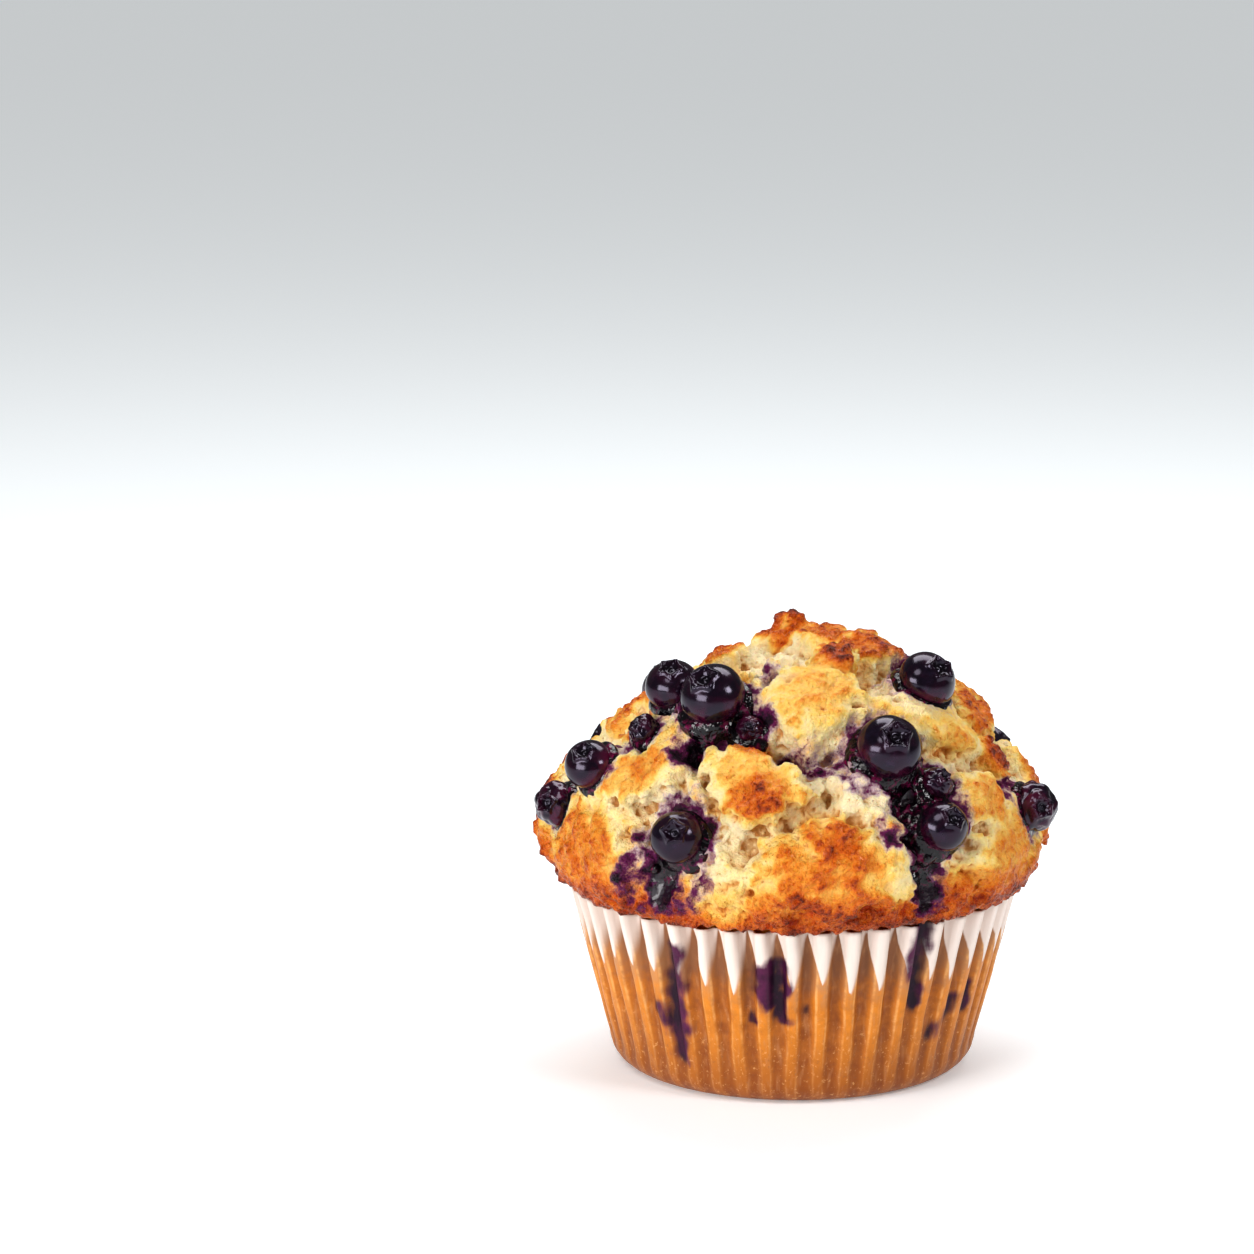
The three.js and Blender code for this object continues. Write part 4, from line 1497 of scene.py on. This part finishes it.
@dataclass(frozen=True)
class Jam:
    """Boiled juice that lies round the berries and has run down three of the cracks."""

    relief: Relief
    finish: JamFinish = JamFinish()
    voxel: float = 0.34
    film: float = 0.22  # how far the juice stands out of the crumb
    turns: int = 72

    def build(self) -> bpy.types.Object:
        """Builds and dresses the jam.

        Returns:
            The finished piece.
        """
        material = self.finish.material()
        spots, sizes = self._drops()
        piece = new_piece("berry_jam", spots, [], material)
        keep_number(piece.data, "size", sizes * MM)
        shape = ShapeTree("Jam drops", {"Voxel": self.voxel * MM})
        size = shape.shape("GeometryNodeInputNamedAttribute", {"data_type": "FLOAT"}, {"Name": "size"})
        drops = shape.shape("GeometryNodeMeshToPoints", None, {"Mesh": shape.given("Geometry"), "Radius": size})
        cloud = {"Points": drops, "Voxel Size": shape.given("Voxel"), "Radius": size}
        volume = shape.shape("GeometryNodePointsToVolume", {"resolution_mode": "VOXEL_SIZE"}, cloud)
        shape.close(shape.shape("GeometryNodeVolumeToMesh", None, {"Volume": volume, "Threshold": 0.1}), material)
        shape.apply(piece)
        settle(piece)
        neighbours = Neighbours(piece.data)
        move_vertices(piece.data, neighbours.spread(vertex_places(piece.data), 12))
        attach(piece, ROOT)
        return piece

    def _drops(self) -> tuple[Points, Numbers]:
        """Centres and radii of the drops that flow together."""
        draw = np.random.default_rng(23)
        dome = self.relief.dome
        spots = [self._ring(berry, draw) for berry in self.relief.berries]
        for crack in CRACKS:
            if not crack.juice:
                continue
            for start, end in zip(crack.path, crack.path[1:]):
                for t in np.arange(0.0, 1.0, 0.04):
                    place = dome.point(start[0] + (end[0] - start[0]) * t, start[1] + (end[1] - start[1]) * t)
                    spots.append(place + draw.normal(0.0, crack.juice * 0.4, (2, 3)))
        places, _ = dome.under(np.concatenate(spots))
        sizes = 0.9 + 0.5 * draw.random(len(places))
        rise = self.relief.survey(places).height + self.film + 0.12 * draw.random(len(places)) - sizes
        return places + dome.normal(places) * rise[:, None], sizes

    def _ring(self, berry: Berry, draw: np.random.Generator) -> Points:
        """Places round a berry, reaching further down the slope, the more juice it has lost.

        Args:
            berry: The berry.
            draw: The source of chance.

        Returns:
            Places near the dome, one a row.
        """
        centre = self.relief.dome.point(berry.az, berry.pol)
        out = self.relief.dome.normal(centre)
        down = np.array([0.0, 0.0, -1.0]) + out * out[2]
        down /= np.linalg.norm(down)
        side = np.cross(out, down)
        turn = np.linspace(0.0, 2.0 * math.pi, self.turns, endpoint=False)
        wave = 0.5 + 0.3 * np.sin(2.0 * turn + 6.0 * draw.random()) + 0.2 * np.sin(5.0 * turn + 6.0 * draw.random())
        lower = 0.5 + 0.5 * np.cos(turn)
        reach = berry.juice * (0.3 + 0.9 * lower + 1.5 * lower * wave)
        rings = []
        for share in (0.0, 0.5, 1.0):
            away = berry.size / 2 - 0.75 + reach * share + draw.normal(0.0, 0.08, self.turns)
            rings.append(centre + away[:, None] * (down * np.cos(turn)[:, None] + side * np.sin(turn)[:, None]))
        return np.concatenate(rings)


@dataclass(frozen=True)
class Studio:
    """Plain floor, soft light and the camera at the photograph's angle."""

    camera_back: float = 1.2
    camera_height: float = 0.34863
    pitch: float = 12.338
    swing: float = 1.55
    lens: float = 181.88
    floor_half: float = 8.0
    sky: float = 0.15
    sun: float = 0.72
    floor_glow: float = 0.2

    def build(self) -> None:
        """Builds the floor, the lights and the camera."""
        bpy.context.scene.view_settings.view_transform = "Standard"
        bpy.context.scene.view_settings.look = "Medium High Contrast"
        self._floor()
        self._sky()
        self._sun()
        self._softbox("Softbox left", (-0.62, -0.66, 0.26), (0.6, 0.3), 4.5)
        self._softbox("Softbox right", (0.55, -0.42, 0.56), (0.26, 0.22), 2.1)
        self._softbox("Softbox top", (0.05, 0.3, 0.62), (0.6, 0.3), 2.6)
        self._camera()

    def _floor(self) -> None:
        """The floor."""
        h = self.floor_half / MM
        corners = np.array([[-h, -h, 0.0], [h, -h, 0.0], [h, h, 0.0], [-h, h, 0.0]])
        floor = new_piece("studio_floor", corners, [(0, 1, 2, 3)], FloorFinish(self.floor_glow).material())

    def _sky(self) -> None:
        """Even light from all round."""
        world = bpy.data.worlds.new("Studio")
        world.use_nodes = True
        world.node_tree.nodes.clear()
        tree = Tree(world.node_tree)
        background = tree.field("ShaderNodeBackground", None, {"Color": (1.0, 0.99, 0.98, 1.0), "Strength": self.sky})
        tree.add("ShaderNodeOutputWorld", None, {"Surface": background})
        bpy.context.scene.world = world

    def _sun(self) -> None:
        """A wide soft light from above the left shoulder."""
        light = bpy.data.lights.new("Key", "SUN")
        light.energy = self.sun
        light.angle = math.radians(26.0)
        light.color = (1.0, 0.985, 0.96)
        key = bpy.data.objects.new("Key", light)
        key.rotation_euler = (math.radians(38.0), 0.0, math.radians(-32.0))
        bpy.context.scene.collection.objects.link(key)

    def _softbox(self, name: str, place: tuple[float, float, float], size: tuple[float, float], power: float) -> None:
        """An upright softbox that faces the crown.

        Args:
            name: The light's name.
            place: Where it stands, in metres.
            size: Its width and height in metres.
            power: Its power in watts.
        """
        light = bpy.data.lights.new(name, "AREA")
        light.shape = "RECTANGLE"
        light.size, light.size_y = size
        light.energy = power
        box = bpy.data.objects.new(name, light)
        box.location = place
        aim = np.array([0.0, 0.0, 0.06]) - np.array(place)
        yaw = math.atan2(-aim[0], aim[1])
        box.rotation_euler = (math.pi / 2 + math.atan2(aim[2], math.hypot(aim[0], aim[1])), 0.0, yaw)
        bpy.context.scene.collection.objects.link(box)

    def _camera(self) -> None:
        """The camera at the photograph's viewing angle."""
        data = bpy.data.cameras.new("Photograph")
        data.lens = self.lens
        data.sensor_width = 36.0
        data.clip_start = 0.05
        data.clip_end = 60.0
        camera = bpy.data.objects.new("Photograph", data)
        camera.location = (0.0, -self.camera_back, self.camera_height)
        camera.rotation_euler = (math.radians(90.0 - self.pitch), 0.0, math.radians(self.swing))
        bpy.context.scene.collection.objects.link(camera)
        bpy.context.scene.camera = camera


def report(piece: bpy.types.Object) -> None:
    """Logs a piece's name and size."""
    triangles = sum(len(face.vertices) - 2 for face in piece.data.polygons)
    log.info("%s: %d triangles", piece.name, triangles)


def main() -> None:
    """Builds every piece in order."""
    logging.basicConfig(level=logging.INFO, format="%(name)s: %(message)s")
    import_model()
    relief = Relief(Dome(), (*FRONT_CRAGS, *back_crags()), tuple(all_berries()))
    crown = Crown(relief).build()
    report(crown)
    report(CrumbBase().build(crown.data.materials[0]))
    report(PaperCase().build())
    maker = BerryMaker(relief)
    skin = maker.finish.material()
    for berry in relief.berries:
        report(maker.build(berry, skin))
    report(Jam(relief).build())
    Studio().build()


if __name__ == "__main__":
    main()
